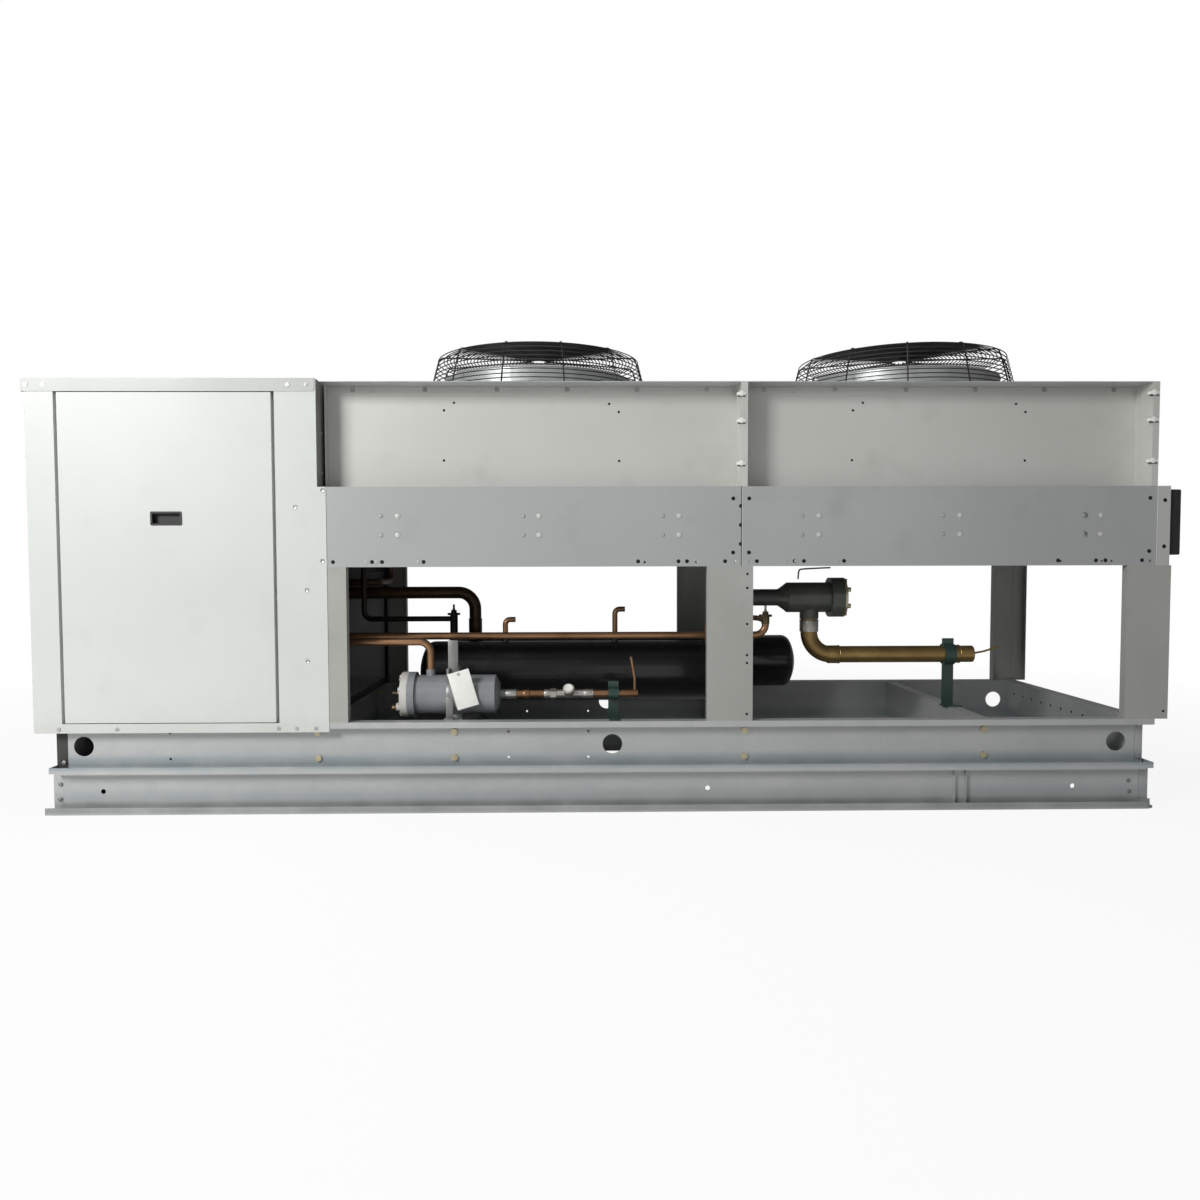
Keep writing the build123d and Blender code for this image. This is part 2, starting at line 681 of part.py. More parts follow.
def compressor_body():
    """Semi-hermetic compressor: motor barrel, crankcase, end bell, terminal box and feet."""
    z = COMPRESSOR_Z
    barrel = rod(X_COMPRESSOR - 320, 0, z, BARREL_RADIUS, 340, (1, 0, 0))
    bell = rod(X_COMPRESSOR - 350, 0, z, BARREL_RADIUS + 12, 30, (1, 0, 0))
    half = CRANKCASE_WIDTH / 2
    case = block(0, CRANKCASE_LENGTH, -half, half, -CRANKCASE_HEIGHT / 2, CRANKCASE_HEIGHT / 2)
    case = fillet(case.edges().filter_by(Axis.X), 40)
    case = Pos(X_COMPRESSOR, 0, z) * case
    cover = rod(X_COMPRESSOR + CRANKCASE_LENGTH, 0, z, 90, 25, (1, 0, 0))
    box_low, box_high = z + BARREL_RADIUS - 20, HEAD_BASE_Z - 4
    terminals = block(X_COMPRESSOR - 240, X_COMPRESSOR - 60, -60, 60, box_low, box_high)
    half_valve = VALVE_WIDTH / 2
    x0, x1 = X_SUCTION_VALVE - half_valve, X_SUCTION_VALVE + half_valve
    boss = block(x0, x1, -half_valve, half_valve, z, z + BARREL_RADIUS + VALVE_BOSS)
    body = barrel + bell + case + cover + terminals + boss
    for x in (X_COMPRESSOR - 280, X_COMPRESSOR + CRANKCASE_LENGTH - 60):
        body = body + block(x - 25, x + 25, -half, half, Z_PAN + FOOT_HEIGHT, z)
    return body


def compressor_heads():
    """Row of finned cylinder heads on the crankcase."""
    heads = []
    pitch = CRANKCASE_LENGTH / HEADS
    for number in range(HEADS):
        x = X_COMPRESSOR + pitch * (number + 0.5)
        head = Pos(x, 0, HEAD_BASE_Z + 35) * Box(pitch - 12, HEAD_WIDTH, 70)
        heads.append(fillet(head.edges().group_by(Axis.Z)[-1], 14))
    return heads


def compressor_feet():
    """Rails and rubber-bushed feet under the compressor."""
    feet = []
    for x in (X_COMPRESSOR - 280, X_COMPRESSOR + CRANKCASE_LENGTH - 60):
        feet.append(block(x - 30, x + 30, -210, 210, Z_PAN, Z_PAN + FOOT_HEIGHT))
    return feet


def service_valves():
    """Flanged service valves: suction on the motor end, discharge on the heads."""
    low = COMPRESSOR_Z + BARREL_RADIUS + VALVE_BOSS
    x, half = X_SUCTION_VALVE, VALVE_WIDTH / 2
    suction = block(x - half, x + half, -half, half, low, SUCTION_VALVE_Z)
    x = X_DISCHARGE
    y = HEAD_WIDTH / 2
    discharge = block(x - half, x + half, y, y + VALVE_WIDTH, HEAD_BASE_Z + 6, DISCHARGE_VALVE_Z)
    return [suction, discharge]


def control_box():
    """Electrical enclosure across the cabinet's top: a tray with contactors on its back."""
    x0, x1 = X_CABINET + SHEET, X_CABINET_END - SHEET
    y0 = FRONT + CONTROL_SETBACK
    top = Z_LIP - 30
    back = y0 + CONTROL_DEPTH - SHEET
    tray = block(x0, x1, y0, y0 + CONTROL_DEPTH, Z_CONTROL, top)
    tray = tray - block(x0 + SHEET, x1 - SHEET, y0 - 1, back, Z_CONTROL + SHEET, top - SHEET)
    for number in range(CONTACTORS):
        x = x0 + 140 + CONTACTOR_PITCH * number
        tray = tray + block(x, x + 90, back - 100, back, Z_CONTROL + 230, Z_CONTROL + 350)
    return tray + block(x0 + 120, x1 - 120, back - 60, back, Z_CONTROL + 80, Z_CONTROL + 140)


def build_machinery():
    save("compressor_body", compressor_body())
    save("compressor_heads", Compound(compressor_heads()))
    save("compressor_mounts", Compound(compressor_feet() + service_valves()))
    save("control_box", control_box())


# ---------------------------------------------------------------- coil and plenum

def coil_band(x0, x1):
    """Front casing of a coil: face, deep top flange and short bottom flange, with holes near
    its lower edge."""
    profile = (
        (PLENUM_FRONT + BAND_RETURN, Z_PLENUM),
        (FRONT, Z_PLENUM),
        (FRONT, Z_BAND),
        (FRONT + BAND_RETURN, Z_BAND),
    )
    band = folded(section_x(x0), profile, SHEET, x1 - x0)
    holes = [x0 + inset for inset in BAND_HOLES] + [x1 - inset for inset in BAND_HOLES]
    return punched(band, [(x, FRONT, Z_BAND + 16) for x in holes], BAND_HOLE_DIAMETER, (0, 1, 0), 20)


def coil_end(x):
    """Tube plate at the right end of the coil, with a flange at front and rear."""
    profile = ((x - END_FLANGE, REAR), (x, REAR), (x, FRONT), (x - END_FLANGE, FRONT))
    plate = folded(Plane.XY, tuple(reversed(profile)), SHEET, BAND_HEIGHT)
    return Pos(0, 0, Z_BAND) * plate


def fin_block(x0, x1):
    """Stack of plate fins between the tube plates, as one solid core."""
    y = FRONT + FIN_EDGE
    return block(x0, x1, y, -y, FIN_Z, FIN_Z + FIN_HEIGHT)


def headers():
    """Inlet and outlet manifolds at the coil's left end, each with its run of feeder tubes."""
    parts = []
    front = FRONT + HEADER_END
    ends = (DISCHARGE_Y - HEADER_END, DISCHARGE_Y + HEADER_RADIUS)
    for z, rear in zip((OUTLET_HEADER_Z, INLET_HEADER_Z), ends):
        manifold = rod(X_HEADER, front, z, HEADER_RADIUS, rear - front, (0, 1, 0))
        spacing = (DISCHARGE_Y - 2 * HEADER_END - front) / (FEEDERS - 1)
        for number in range(FEEDERS):
            y = front + HEADER_END / 2 + spacing * number
            manifold = manifold + rod(X_HEADER, y, z, FEEDER_RADIUS, HEADER_SPACE / 2, (1, 0, 0))
        parts.append(manifold)
    return parts


def end_cover():
    """Moulded cover over the return bends at the right end: an open-backed tray."""
    y = FRONT + 14
    cover = block(X_COVER, X_COVER + END_COVER_DEPTH, y, -y, Z_BAND + 38, Z_PLENUM - 12)
    cover = fillet(cover.edges().filter_by(Axis.Y), 6)
    inner = block(X_COVER - 1, X_COVER + END_COVER_DEPTH - 3, y + 3, -y - 3, Z_BAND + 41, Z_PLENUM - 15)
    return cover - inner


def return_bends():
    """U-bends that join the coil's tubes through the right tube plate."""
    bends = []
    spacing = (CASE_DEPTH - 4 * HEADER_END) / (RETURN_BENDS - 1)
    z = FIN_Z + FIN_HEIGHT / 2
    for number in range(RETURN_BENDS):
        y = FRONT + 2 * HEADER_END + spacing * number
        near, far = y - BEND_PITCH / 2, y + BEND_PITCH / 2
        out = X_COVER + BEND_REACH
        route = [(X_COVER, near, z), (out, near, z), (out, far, z), (X_COVER, far, z)]
        bends.append(pipe(route, 10, 12))
    return bends


def plenum_front(x0, x1):
    """Front sheet of a plenum, with a stiffening flange turned forward at each end."""
    y = PLENUM_FRONT
    profile = ((x1, y - PANEL_FLANGE), (x1, y), (x0, y), (x0, y - PANEL_FLANGE))
    height = PLENUM_HEIGHT - SHEET
    return Pos(0, 0, Z_PLENUM) * folded(Plane.XY, profile, SHEET, height)


def bulkhead(x, face, flange):
    """Upright plate across a plenum, with a flange along its front and rear edges."""
    profile = ((x + flange, face), (x, face), (x, -face), (x + flange, -face))
    height = PLENUM_HEIGHT - SHEET
    plate = folded(Plane.XY, tuple(reversed(profile)), SHEET, height)
    return Pos(0, 0, Z_PLENUM) * plate


def fan_deck(x0, x1, middle):
    """Top sheet of a fan module with the venturi collar drawn up around the fan."""
    sheet = block(x0, x1, FRONT, REAR, Z_TOP - SHEET, Z_TOP)
    outer = COLLAR_RADIUS + COLLAR_BELL
    sheet = sheet - rod(middle, 0, Z_TOP - 9, outer, 20, (0, 0, 1))
    low = Z_TOP - SHEET
    high = Z_TOP + COLLAR_RISE
    bell = (
        Line((outer, low), (outer, Z_TOP)),
        ThreePointArc(
            (outer, Z_TOP),
            (COLLAR_RADIUS + SHEET + 9, Z_TOP + 9),
            (COLLAR_RADIUS + SHEET, Z_TOP + COLLAR_BELL),
        ),
        Line((COLLAR_RADIUS + SHEET, Z_TOP + COLLAR_BELL), (COLLAR_RADIUS + SHEET, high)),
        Line((COLLAR_RADIUS + SHEET, high), (COLLAR_RADIUS, high)),
        Line((COLLAR_RADIUS, high), (COLLAR_RADIUS, Z_TOP + COLLAR_BELL)),
        ThreePointArc(
            (COLLAR_RADIUS, Z_TOP + COLLAR_BELL), (COLLAR_RADIUS + 8, Z_TOP + 7), (outer, low)
        ),
    )
    outline = make_face([Plane.XZ * edge for edge in bell])
    collar = revolve(outline, Axis.Z, 360)
    return sheet + Pos(middle, 0, 0) * collar


def build_coil():
    bands = [coil_band(X_CASE, X_JOINT), coil_band(X_JOINT, X_CASE_END)]
    save("coil_casing_front", Compound(bands))
    save("coil_casing_rear", Compound([to_rear(band) for band in bands]))
    y = FRONT + SHEET
    left_end = block(X_CASE, X_CASE + SHEET, y, -y, Z_BAND + SHEET, Z_PLENUM - SHEET)
    save("coil_end_plates", Compound([left_end, coil_end(X_COVER)]))
    first = fin_block(X_CASE + HEADER_SPACE, X_JOINT)
    second = fin_block(X_JOINT, X_COVER - SHEET)
    save("coil_fins", Compound([first, second]))
    save("coil_headers", Compound(headers() + return_bends()))
    save("coil_end_cover", end_cover())
    panels = [
        plenum_front(X_CASE + SHEET, X_JOINT - SHEET),
        plenum_front(X_JOINT, X_CASE_END - JOINT_FLANGE),
    ]
    save("plenum_panels", Compound(panels + [to_rear(panel) for panel in panels]))
    walls = [
        block(X_CASE, X_CASE + SHEET, PLENUM_FRONT, -PLENUM_FRONT, Z_PLENUM, Z_TOP - SHEET),
        bulkhead(X_JOINT - SHEET, FRONT, JOINT_FLANGE),
        bulkhead(X_CASE_END - JOINT_FLANGE, FRONT, JOINT_FLANGE),
    ]
    save("plenum_bulkheads", Compound(walls))


# ---------------------------------------------------------------- fans

FAN_Z = Z_TOP + FAN_PLANE
MOTOR_TOP = FAN_Z - HUB_HEIGHT / 2 - MOTOR_GAP
SHAFT_BOTTOM = MOTOR_TOP - SHAFT_SEAT
MOUNT_Z = MOTOR_TOP - MOTOR_HEIGHT


def fan_motor(x):
    """Round fan motor, shaft up, with a bore for the running shaft."""
    shell = rod(x, 0, MOUNT_Z, MOTOR_RADIUS, MOTOR_HEIGHT - 14, (0, 0, 1))
    boss = rod(x, 0, MOTOR_TOP - 14, MOTOR_RADIUS * 0.45, 14, (0, 0, 1))
    bore = rod(x, 0, SHAFT_BOTTOM - 2, SHAFT_DIAMETER / 2 + SHAFT_FIT, SHAFT_SEAT + 4, (0, 0, 1))
    return shell + boss - bore


def motor_mount(x):
    """Pair of channels across the plenum that carry the motor on a cross plate."""
    rails = []
    inner = -PLENUM_FRONT
    for side in (-1, 1):
        edge = x + side * MOTOR_RADIUS
        profile = ((edge - 20, -MOUNT_RAIL), (edge - 20, 0), (edge + 20, 0), (edge + 20, -MOUNT_RAIL))
        rail = folded(section_y(inner), tuple(reversed(profile)), SHEET * 1.5, 2 * inner)
        rails.append(Pos(0, 0, MOUNT_Z - SHEET * 3) * rail)
    plate = block(x - MOTOR_RADIUS - 20, x + MOTOR_RADIUS + 20, -70, 70, MOUNT_Z - SHEET * 3, MOUNT_Z)
    return rails[0] + rails[1] + plate


def blade_section(radius, chord, pitch):
    """Cambered blade section at a radius, set at its pitch."""
    slope = math.radians(pitch)
    along = (0, math.cos(slope), math.sin(slope))
    plane = Plane((radius, 0, 0), x_dir=along, z_dir=(1, 0, 0))
    half, camber, low = chord / 2, chord * BLADE_CAMBER, -BLADE_THICKNESS
    top = ThreePointArc((-half, 0), (0, camber), (half, 0))
    bottom = ThreePointArc((half, low), (0, camber + low), (-half, low))
    return plane * make_face([top, Line(top @ 1, bottom @ 0), bottom, Line(bottom @ 1, top @ 0)])


def fan_rotor():
    """Propeller fan: hub and shaft with twisted, cambered blades trimmed to a round sweep."""
    root = blade_section(HUB_RADIUS - 8, BLADE_ROOT_CHORD, ROOT_PITCH)
    tip = blade_section(FAN_RADIUS + 15, BLADE_TIP_CHORD, TIP_PITCH)
    blade = loft([root, tip])
    sweep_disc = rod(0, 0, -150, FAN_RADIUS, 300, (0, 0, 1))
    blade = blade & sweep_disc
    rotor = rod(0, 0, -HUB_HEIGHT / 2, HUB_RADIUS, HUB_HEIGHT, (0, 0, 1))
    for number in range(FAN_BLADES):
        rotor = rotor + Rot(0, 0, 45 + 360 / FAN_BLADES * number) * blade
    shaft = rod(0, 0, SHAFT_BOTTOM - FAN_Z, SHAFT_DIAMETER / 2, FAN_Z - SHAFT_BOTTOM, (0, 0, 1))
    return rotor + shaft


def guard_ring(radius, z):
    """One ring of the guard, drawn with flat sides, from square wire."""
    outer = RegularPolygon(radius + GUARD_WIRE / 2, RING_SIDES)
    inner = RegularPolygon(radius - GUARD_WIRE / 2, RING_SIDES)
    return Pos(0, 0, z - GUARD_WIRE / 2) * extrude(outer - inner, GUARD_WIRE)


def guard_rib():
    """One rib of the guard, bent from its foot over the shoulder to the middle."""
    foot = (GUARD_RADIUS, 0)
    shoulder = (GUARD_SHOULDER, GUARD_RISE)
    crown = (GUARD_HUB_RADIUS, GUARD_RISE + GUARD_CROWN)
    line = FilletPolyline(foot, shoulder, crown, radius=30)
    outline = offset(line, GUARD_WIRE, kind=Kind.INTERSECTION, side=Side.LEFT, closed=True)
    face = section_y(GUARD_WIRE / 2) * make_face(outline)
    return extrude(face, GUARD_WIRE, dir=(0, -1, 0))


def fan_guard():
    """Welded wire basket over the fan: ribs with rings on the sides and the crown."""
    guard = guard_ring(GUARD_RADIUS - GUARD_WIRE / 2, GUARD_WIRE / 2)
    for number in range(1, GUARD_SIDE_RINGS + 1):
        share = number / (GUARD_SIDE_RINGS + 1)
        radius = GUARD_RADIUS + (GUARD_SHOULDER - GUARD_RADIUS) * share
        guard = guard + guard_ring(radius - GUARD_WIRE / 2, GUARD_RISE * share)
    for number in range(GUARD_TOP_RINGS + 1):
        share = number / GUARD_TOP_RINGS
        radius = GUARD_SHOULDER - 24 + (GUARD_HUB_RADIUS - GUARD_SHOULDER + 24) * share
        rise = GUARD_CROWN * (0.06 + 0.94 * share) - GUARD_WIRE / 2
        guard = guard + guard_ring(radius, GUARD_RISE + rise)
    for number in range(GUARD_RIBS):
        guard = guard + Rot(0, 0, 360 / GUARD_RIBS * (number + 0.5)) * guard_rib()
    span = GUARD_RADIUS + 20
    return guard - block(-span, span, -span, span, -20, 0)


def build_fans():
    decks = [
        fan_deck(X_CASE, X_JOINT, FAN_CENTRES[0]),
        fan_deck(X_JOINT, X_CASE_END, FAN_CENTRES[1]),
    ]
    save("fan_decks", Compound(decks))
    save("fan_motors", Compound([fan_motor(x) for x in FAN_CENTRES]))
    save("motor_mounts", Compound([motor_mount(x) for x in FAN_CENTRES]))
    rotor = fan_rotor()
    for number, x in enumerate(FAN_CENTRES, 1):
        save("fan_rotor_" + str(number), Pos(x, 0, FAN_Z) * rotor)
    guard = fan_guard()
    save("fan_guards", Compound([Pos(x, 0, Z_TOP) * guard for x in FAN_CENTRES]))


# ---------------------------------------------------------------- vessels

X_RECEIVER = X_CASE + RECEIVER_INSET
X_ACCUMULATOR = X_CASE + ACCUMULATOR_INSET
X_DRIER = X_CASE + DRIER_INSET
RECEIVER_TOP = VESSEL_Z + RECEIVER_RADIUS
ACCUMULATOR_TOP = VESSEL_Z + ACCUMULATOR_RADIUS
RECEIVER_DEPTH = FRONT + RECEIVER_Y
ACCUMULATOR_DEPTH = FRONT + ACCUMULATOR_Y
DRIER_DEPTH = FRONT + DRIER_Y
SADDLE_STATIONS = (X_BASE + CROSS_MEMBERS[1], X_BASE + CROSS_MEMBERS[2])
Z_CROSS = Z_DECK - GAUGE


def vessel(x0, x1, y, z, radius):
    """Pressure vessel: a shell with a dished head at each end, each a crown and a knuckle."""
    crown_radius = radius * HEAD_CROWN
    knuckle_radius = radius * HEAD_KNUCKLE
    reach = crown_radius - knuckle_radius
    rise = radius - knuckle_radius
    half_angle = math.degrees(math.asin(rise / reach))
    depth = crown_radius - math.sqrt(reach**2 - rise**2)
    middle = (x0 + x1) / 2
    knuckle = JernArc((x0 + depth, radius), (-1, 0), knuckle_radius, 90 - half_angle)
    crown = JernArc(knuckle @ 1, knuckle % 1, crown_radius, half_angle)
    shell = Line((middle, radius), (x0 + depth, radius))
    centre = Line(crown @ 1, (middle, 0))
    outline = make_face([shell, knuckle, crown, centre, Line((middle, 0), (middle, radius))])
    left = revolve(outline, Axis.X, 360)
    return Pos(0, y, z) * (left + mirror(left, Plane.YZ.offset(middle)))


def riser(x, y, z, radius, height):
    """Short nozzle that stands on top of a vessel."""
    return rod(x, y, z - NOZZLE_ROOT, radius, height + NOZZLE_ROOT, (0, 0, 1))


def receiver():
    """Liquid receiver with nozzles for its two valves and its relief fittings."""
    y, top = RECEIVER_DEPTH, RECEIVER_TOP
    tank = vessel(X_RECEIVER, X_RECEIVER + RECEIVER_LENGTH, y, VESSEL_Z, RECEIVER_RADIUS)
    for x in (X_INLET_VALVE, X_OUTLET_NOZZLE):
        tank = tank + riser(x, y, top, NOZZLE_RADIUS, NOZZLE_HEIGHT)
    for x in RELIEF_PLACES:
        tank = tank + riser(X_RECEIVER + x, y, top, RELIEF_RADIUS, RELIEF_NECK)
    return tank


def accumulator():
    """Suction accumulator with a nozzle near each end of its top."""
    y = ACCUMULATOR_DEPTH
    tank = vessel(X_ACCUMULATOR, X_ACCUMULATOR + ACCUMULATOR_LENGTH, y, VESSEL_Z, ACCUMULATOR_RADIUS)
    tank = tank + riser(X_ACCUMULATOR_OUT, y, ACCUMULATOR_TOP, SUCTION_RETURN_OD / 2 + 6, NOZZLE_HEIGHT)
    return tank + riser(X_ACCUMULATOR_IN, y, ACCUMULATOR_TOP, SUCTION_OD / 2 + 6, NOZZLE_HEIGHT)


def saddle(x, y, radius):
    """Cradle that stands on a cross member under a vessel."""
    half = SADDLE_WIDTH / 2
    spread = radius * 0.8
    cradle = block(x - half, x + half, y - spread, y + spread, Z_CROSS, VESSEL_Z - radius * 0.5)
    return cradle - rod(x - half - 1, y, VESSEL_Z, radius + SEAT, SADDLE_WIDTH + 2, (1, 0, 0))


# ---------------------------------------------------------------- liquid side

def drier_shell():
    """Replaceable-core filter drier: bolt flange, barrel, cone and side inlet."""
    x0 = X_DRIER + DRIER_FLANGE
    x1 = X_DRIER + DRIER_FLANGE + DRIER_LENGTH
    outline = make_face(
        Polyline(
            (x0, 0),
            (x0, DRIER_FLANGE_RADIUS),
            (x0 + DRIER_FLANGE, DRIER_FLANGE_RADIUS),
            (x0 + DRIER_FLANGE, DRIER_RADIUS),
            (x1, DRIER_RADIUS),
            (x1 + DRIER_CONE, DRIER_RADIUS - 2 * DRIER_CONE),
            (x1 + DRIER_CONE, DRIER_SPIGOT),
            (x1 + 2.5 * DRIER_CONE, DRIER_SPIGOT),
            (x1 + 2.5 * DRIER_CONE, 0),
            close=True,
        )
    )
    shell = Pos(0, DRIER_DEPTH, DRIER_Z) * revolve(outline, Axis.X, 360)
    rise = DRIER_NOZZLE_TOP - DRIER_Z
    shell = shell + rod(X_DRIER_INLET, DRIER_DEPTH, DRIER_Z, DRIER_SPIGOT, rise, (0, 0, 1))
    return shell + rod(X_SERVICE_PORT, DRIER_DEPTH, DRIER_Z, PORT_RADIUS, PORT_REACH, (0, 0, 1))


def drier_cover():
    """Bolted end plate of the drier, with its ring of bolts and a drain fitting."""
    plate = rod(X_DRIER, DRIER_DEPTH, DRIER_Z, DRIER_FLANGE_RADIUS, DRIER_FLANGE - SEAT, (1, 0, 0))
    for number in range(DRIER_BOLTS):
        angle = math.radians(360 / DRIER_BOLTS * (number + 0.5))
        y = DRIER_DEPTH + (DRIER_FLANGE_RADIUS - 9) * math.cos(angle)
        z = DRIER_Z + (DRIER_FLANGE_RADIUS - 9) * math.sin(angle)
        plate = plate + rod(X_DRIER - 6, y, z, 7, 8, (1, 0, 0))
    plate = plate + rod(X_DRIER - 22, DRIER_DEPTH, DRIER_Z + 8, 7, 24, (1, 0, 0))
    return plate + rod(X_DRIER - 26, DRIER_DEPTH, DRIER_Z - 48, 15, 28, (1, 0, 0))


def liquid_return_line():
    """Long copper line from the receiver's outlet valve back into the cabinet, round and out
    again to the drier's inlet."""
    turn = X_CABINET_END - PIPE_RETURN_DEPTH
    route = [
        (X_OUTLET_VALVE, LONG_PIPE_DEPTH, VALVE_BODY_LOW),
        (X_OUTLET_VALVE, LONG_PIPE_DEPTH, LONG_PIPE_Z),
        (turn, LONG_PIPE_DEPTH, LONG_PIPE_Z),
        (turn, DRIER_DEPTH, DRIER_INLET_Z),
        (X_DRIER_INLET, DRIER_DEPTH, DRIER_INLET_Z),
        (X_DRIER_INLET, DRIER_DEPTH, DRIER_NOZZLE_TOP),
    ]
    return pipe(route, LIQUID_OD, LIQUID_BEND)


def liquid_line():
    """Outlet line from the drier to the sight glass and on to the capped liquid stub."""
    x0 = X_DRIER_OUT
    before = rod(x0, DRIER_DEPTH, DRIER_Z, LIQUID_OD / 2, X_SIGHT - x0, (1, 0, 0))
    x1 = X_SIGHT + SIGHT_LENGTH
    after = rod(x1, DRIER_DEPTH, DRIER_Z, LIQUID_OD / 2, X_LIQUID_STUB - x1, (1, 0, 0))
    branch = pipe(
        [
            (X_LIQUID_STUB - 12, DRIER_DEPTH, DRIER_Z),
            (X_LIQUID_STUB - 12, DRIER_DEPTH, DRIER_Z + 60),
            (X_LIQUID_STUB - 26, DRIER_DEPTH, DRIER_Z + 140),
        ],
        10,
        20,
    )
    return [before, after + branch]


def sight_glass():
    """Moisture indicator in the liquid line: turned body with its window facing up-front."""
    body = rod(X_SIGHT, DRIER_DEPTH, DRIER_Z, 16, SIGHT_LENGTH, (1, 0, 0))
    middle = X_SIGHT + SIGHT_LENGTH * 0.55
    collar = Plane((middle, DRIER_DEPTH, DRIER_Z), z_dir=(0, -0.75, 0.66))
    body = body + extrude(collar * Circle(21), 27)
    nut = Plane((X_SIGHT + 12, DRIER_DEPTH, DRIER_Z), z_dir=(1, 0, 0))
    hexes = extrude(nut * RegularPolygon(21, 6), 22)
    return body + hexes


def receiver_inlet_line():
    """Drain line from the coil's outlet manifold down to the receiver's inlet valve."""
    route = [
        (X_HEADER, RECEIVER_DEPTH, OUTLET_HEADER_Z - HEADER_RADIUS),
        (X_HEADER, RECEIVER_DEPTH, VALVE_PORT_Z),
        (X_INLET_VALVE - VALVE_BODY, RECEIVER_DEPTH, VALVE_PORT_Z),
    ]
    return pipe(route, DRAIN_OD, DRAIN_BEND)


def outlet_bridge():
    """Short line from the receiver's outlet nozzle to the outlet valve's rear port."""
    route = [
        (X_OUTLET_NOZZLE, RECEIVER_DEPTH, RECEIVER_TOP + NOZZLE_HEIGHT),
        (X_OUTLET_NOZZLE, RECEIVER_DEPTH, VALVE_PORT_Z),
        (X_OUTLET_VALVE, RECEIVER_DEPTH, VALVE_PORT_Z),
        (X_OUTLET_VALVE, LONG_PIPE_DEPTH + VALVE_BODY, VALVE_PORT_Z),
    ]
    return pipe(route, DRAIN_OD, DRAIN_BEND)


def angle_valve(x, y, low):
    """Forged angle valve: body, bonnet flange and gland, bored for its stem."""
    body = rod(x, y, low, VALVE_BODY, BONNET_Z - low, (0, 0, 1))
    bonnet = rod(x, y, BONNET_Z, VALVE_BODY + 10, 8, (0, 0, 1))
    gland = rod(x, y, BONNET_Z + 8, STEM_RADIUS + 6, GLAND_HEIGHT, (0, 0, 1))
    bore = rod(x, y, BONNET_Z - 20, STEM_RADIUS + SHAFT_FIT, 100, (0, 0, 1))
    return body + bonnet + gland - bore


def valve_stem(x, y):
    """Turned stem with a square end for a valve key."""
    low = BONNET_Z - 18
    top = BONNET_Z + 8 + GLAND_HEIGHT
    stem = rod(x, y, low, STEM_RADIUS, top + 6 - low, (0, 0, 1))
    side = STEM_RADIUS * 1.3
    return stem + block(x - side / 2, x + side / 2, y - side / 2, y + side / 2, top + 6, top + 24)


# ---------------------------------------------------------------- suction side

def suction_inlet_line():
    """Suction stub that enters from the right and turns up to the suction filter, capped."""
    route = [
        (X_SUCTION_STUB, SUCTION_DEPTH, SUCTION_Z),
        (X_FILTER_NOZZLE, SUCTION_DEPTH, SUCTION_Z),
        (X_FILTER_NOZZLE, SUCTION_DEPTH, FILTER_Z - FILTER_RADIUS - FILTER_NOZZLE),
    ]
    line = pipe(route, SUCTION_OD, SUCTION_BEND)
    probe = pipe(
        [
            (X_SUCTION_STUB - 6, SUCTION_DEPTH, SUCTION_Z),
            (X_SUCTION_STUB + 50, SUCTION_DEPTH, SUCTION_Z + 10),
            (X_SUCTION_STUB + 112, SUCTION_DEPTH, SUCTION_Z + 30),
        ],
        8,
        30,
    )
    return line + probe


def suction_filter():
    """Suction filter shell: tapered inlet end, barrel, bolt flange and bottom nozzle."""
    x0, x1 = X_FILTER, X_FILTER + FILTER_LENGTH
    outline = make_face(
        Polyline(
            (x0 - 36, 0),
            (x0 - 36, SUCTION_OD / 2),
            (x0 - 12, FILTER_RADIUS - 10),
            (x0, FILTER_RADIUS),
            (x1, FILTER_RADIUS),
            (x1, FILTER_FLANGE_RADIUS),
            (x1 + FILTER_FLANGE, FILTER_FLANGE_RADIUS),
            (x1 + FILTER_FLANGE, 0),
            close=True,
        )
    )
    shell = Pos(0, SUCTION_DEPTH, FILTER_Z) * revolve(outline, Axis.X, 360)
    low = FILTER_Z - FILTER_RADIUS - FILTER_NOZZLE
    return shell + rod(X_FILTER_NOZZLE, SUCTION_DEPTH, low, SUCTION_OD / 2 + 4, FILTER_Z - low, (0, 0, 1))


def filter_cover():
    """End plate of the suction filter with its ring of bolts."""
    x = X_FILTER + FILTER_LENGTH + FILTER_FLANGE + SEAT
    plate = rod(x, SUCTION_DEPTH, FILTER_Z, FILTER_FLANGE_RADIUS, FILTER_PLATE, (1, 0, 0))
    for number in range(FILTER_BOLTS):
        angle = math.radians(360 / FILTER_BOLTS * (number + 0.5))
        y = SUCTION_DEPTH + (FILTER_FLANGE_RADIUS - 14) * math.cos(angle)
        z = FILTER_Z + (FILTER_FLANGE_RADIUS - 14) * math.sin(angle)
        plate = plate + rod(x + FILTER_PLATE - 1, y, z, 9, 15, (1, 0, 0))
    return plate


def accumulator_inlet_line():
    """Suction pipe from the filter back to the accumulator's inlet nozzle."""
    route = [
        (X_FILTER - 36, SUCTION_DEPTH, FILTER_Z),
        (X_ACCUMULATOR_IN, SUCTION_DEPTH, FILTER_Z),
        (X_ACCUMULATOR_IN, ACCUMULATOR_DEPTH, FILTER_Z),
        (X_ACCUMULATOR_IN, ACCUMULATOR_DEPTH, ACCUMULATOR_TOP + NOZZLE_HEIGHT),
    ]
    return pipe(route, SUCTION_OD, SUCTION_BEND)


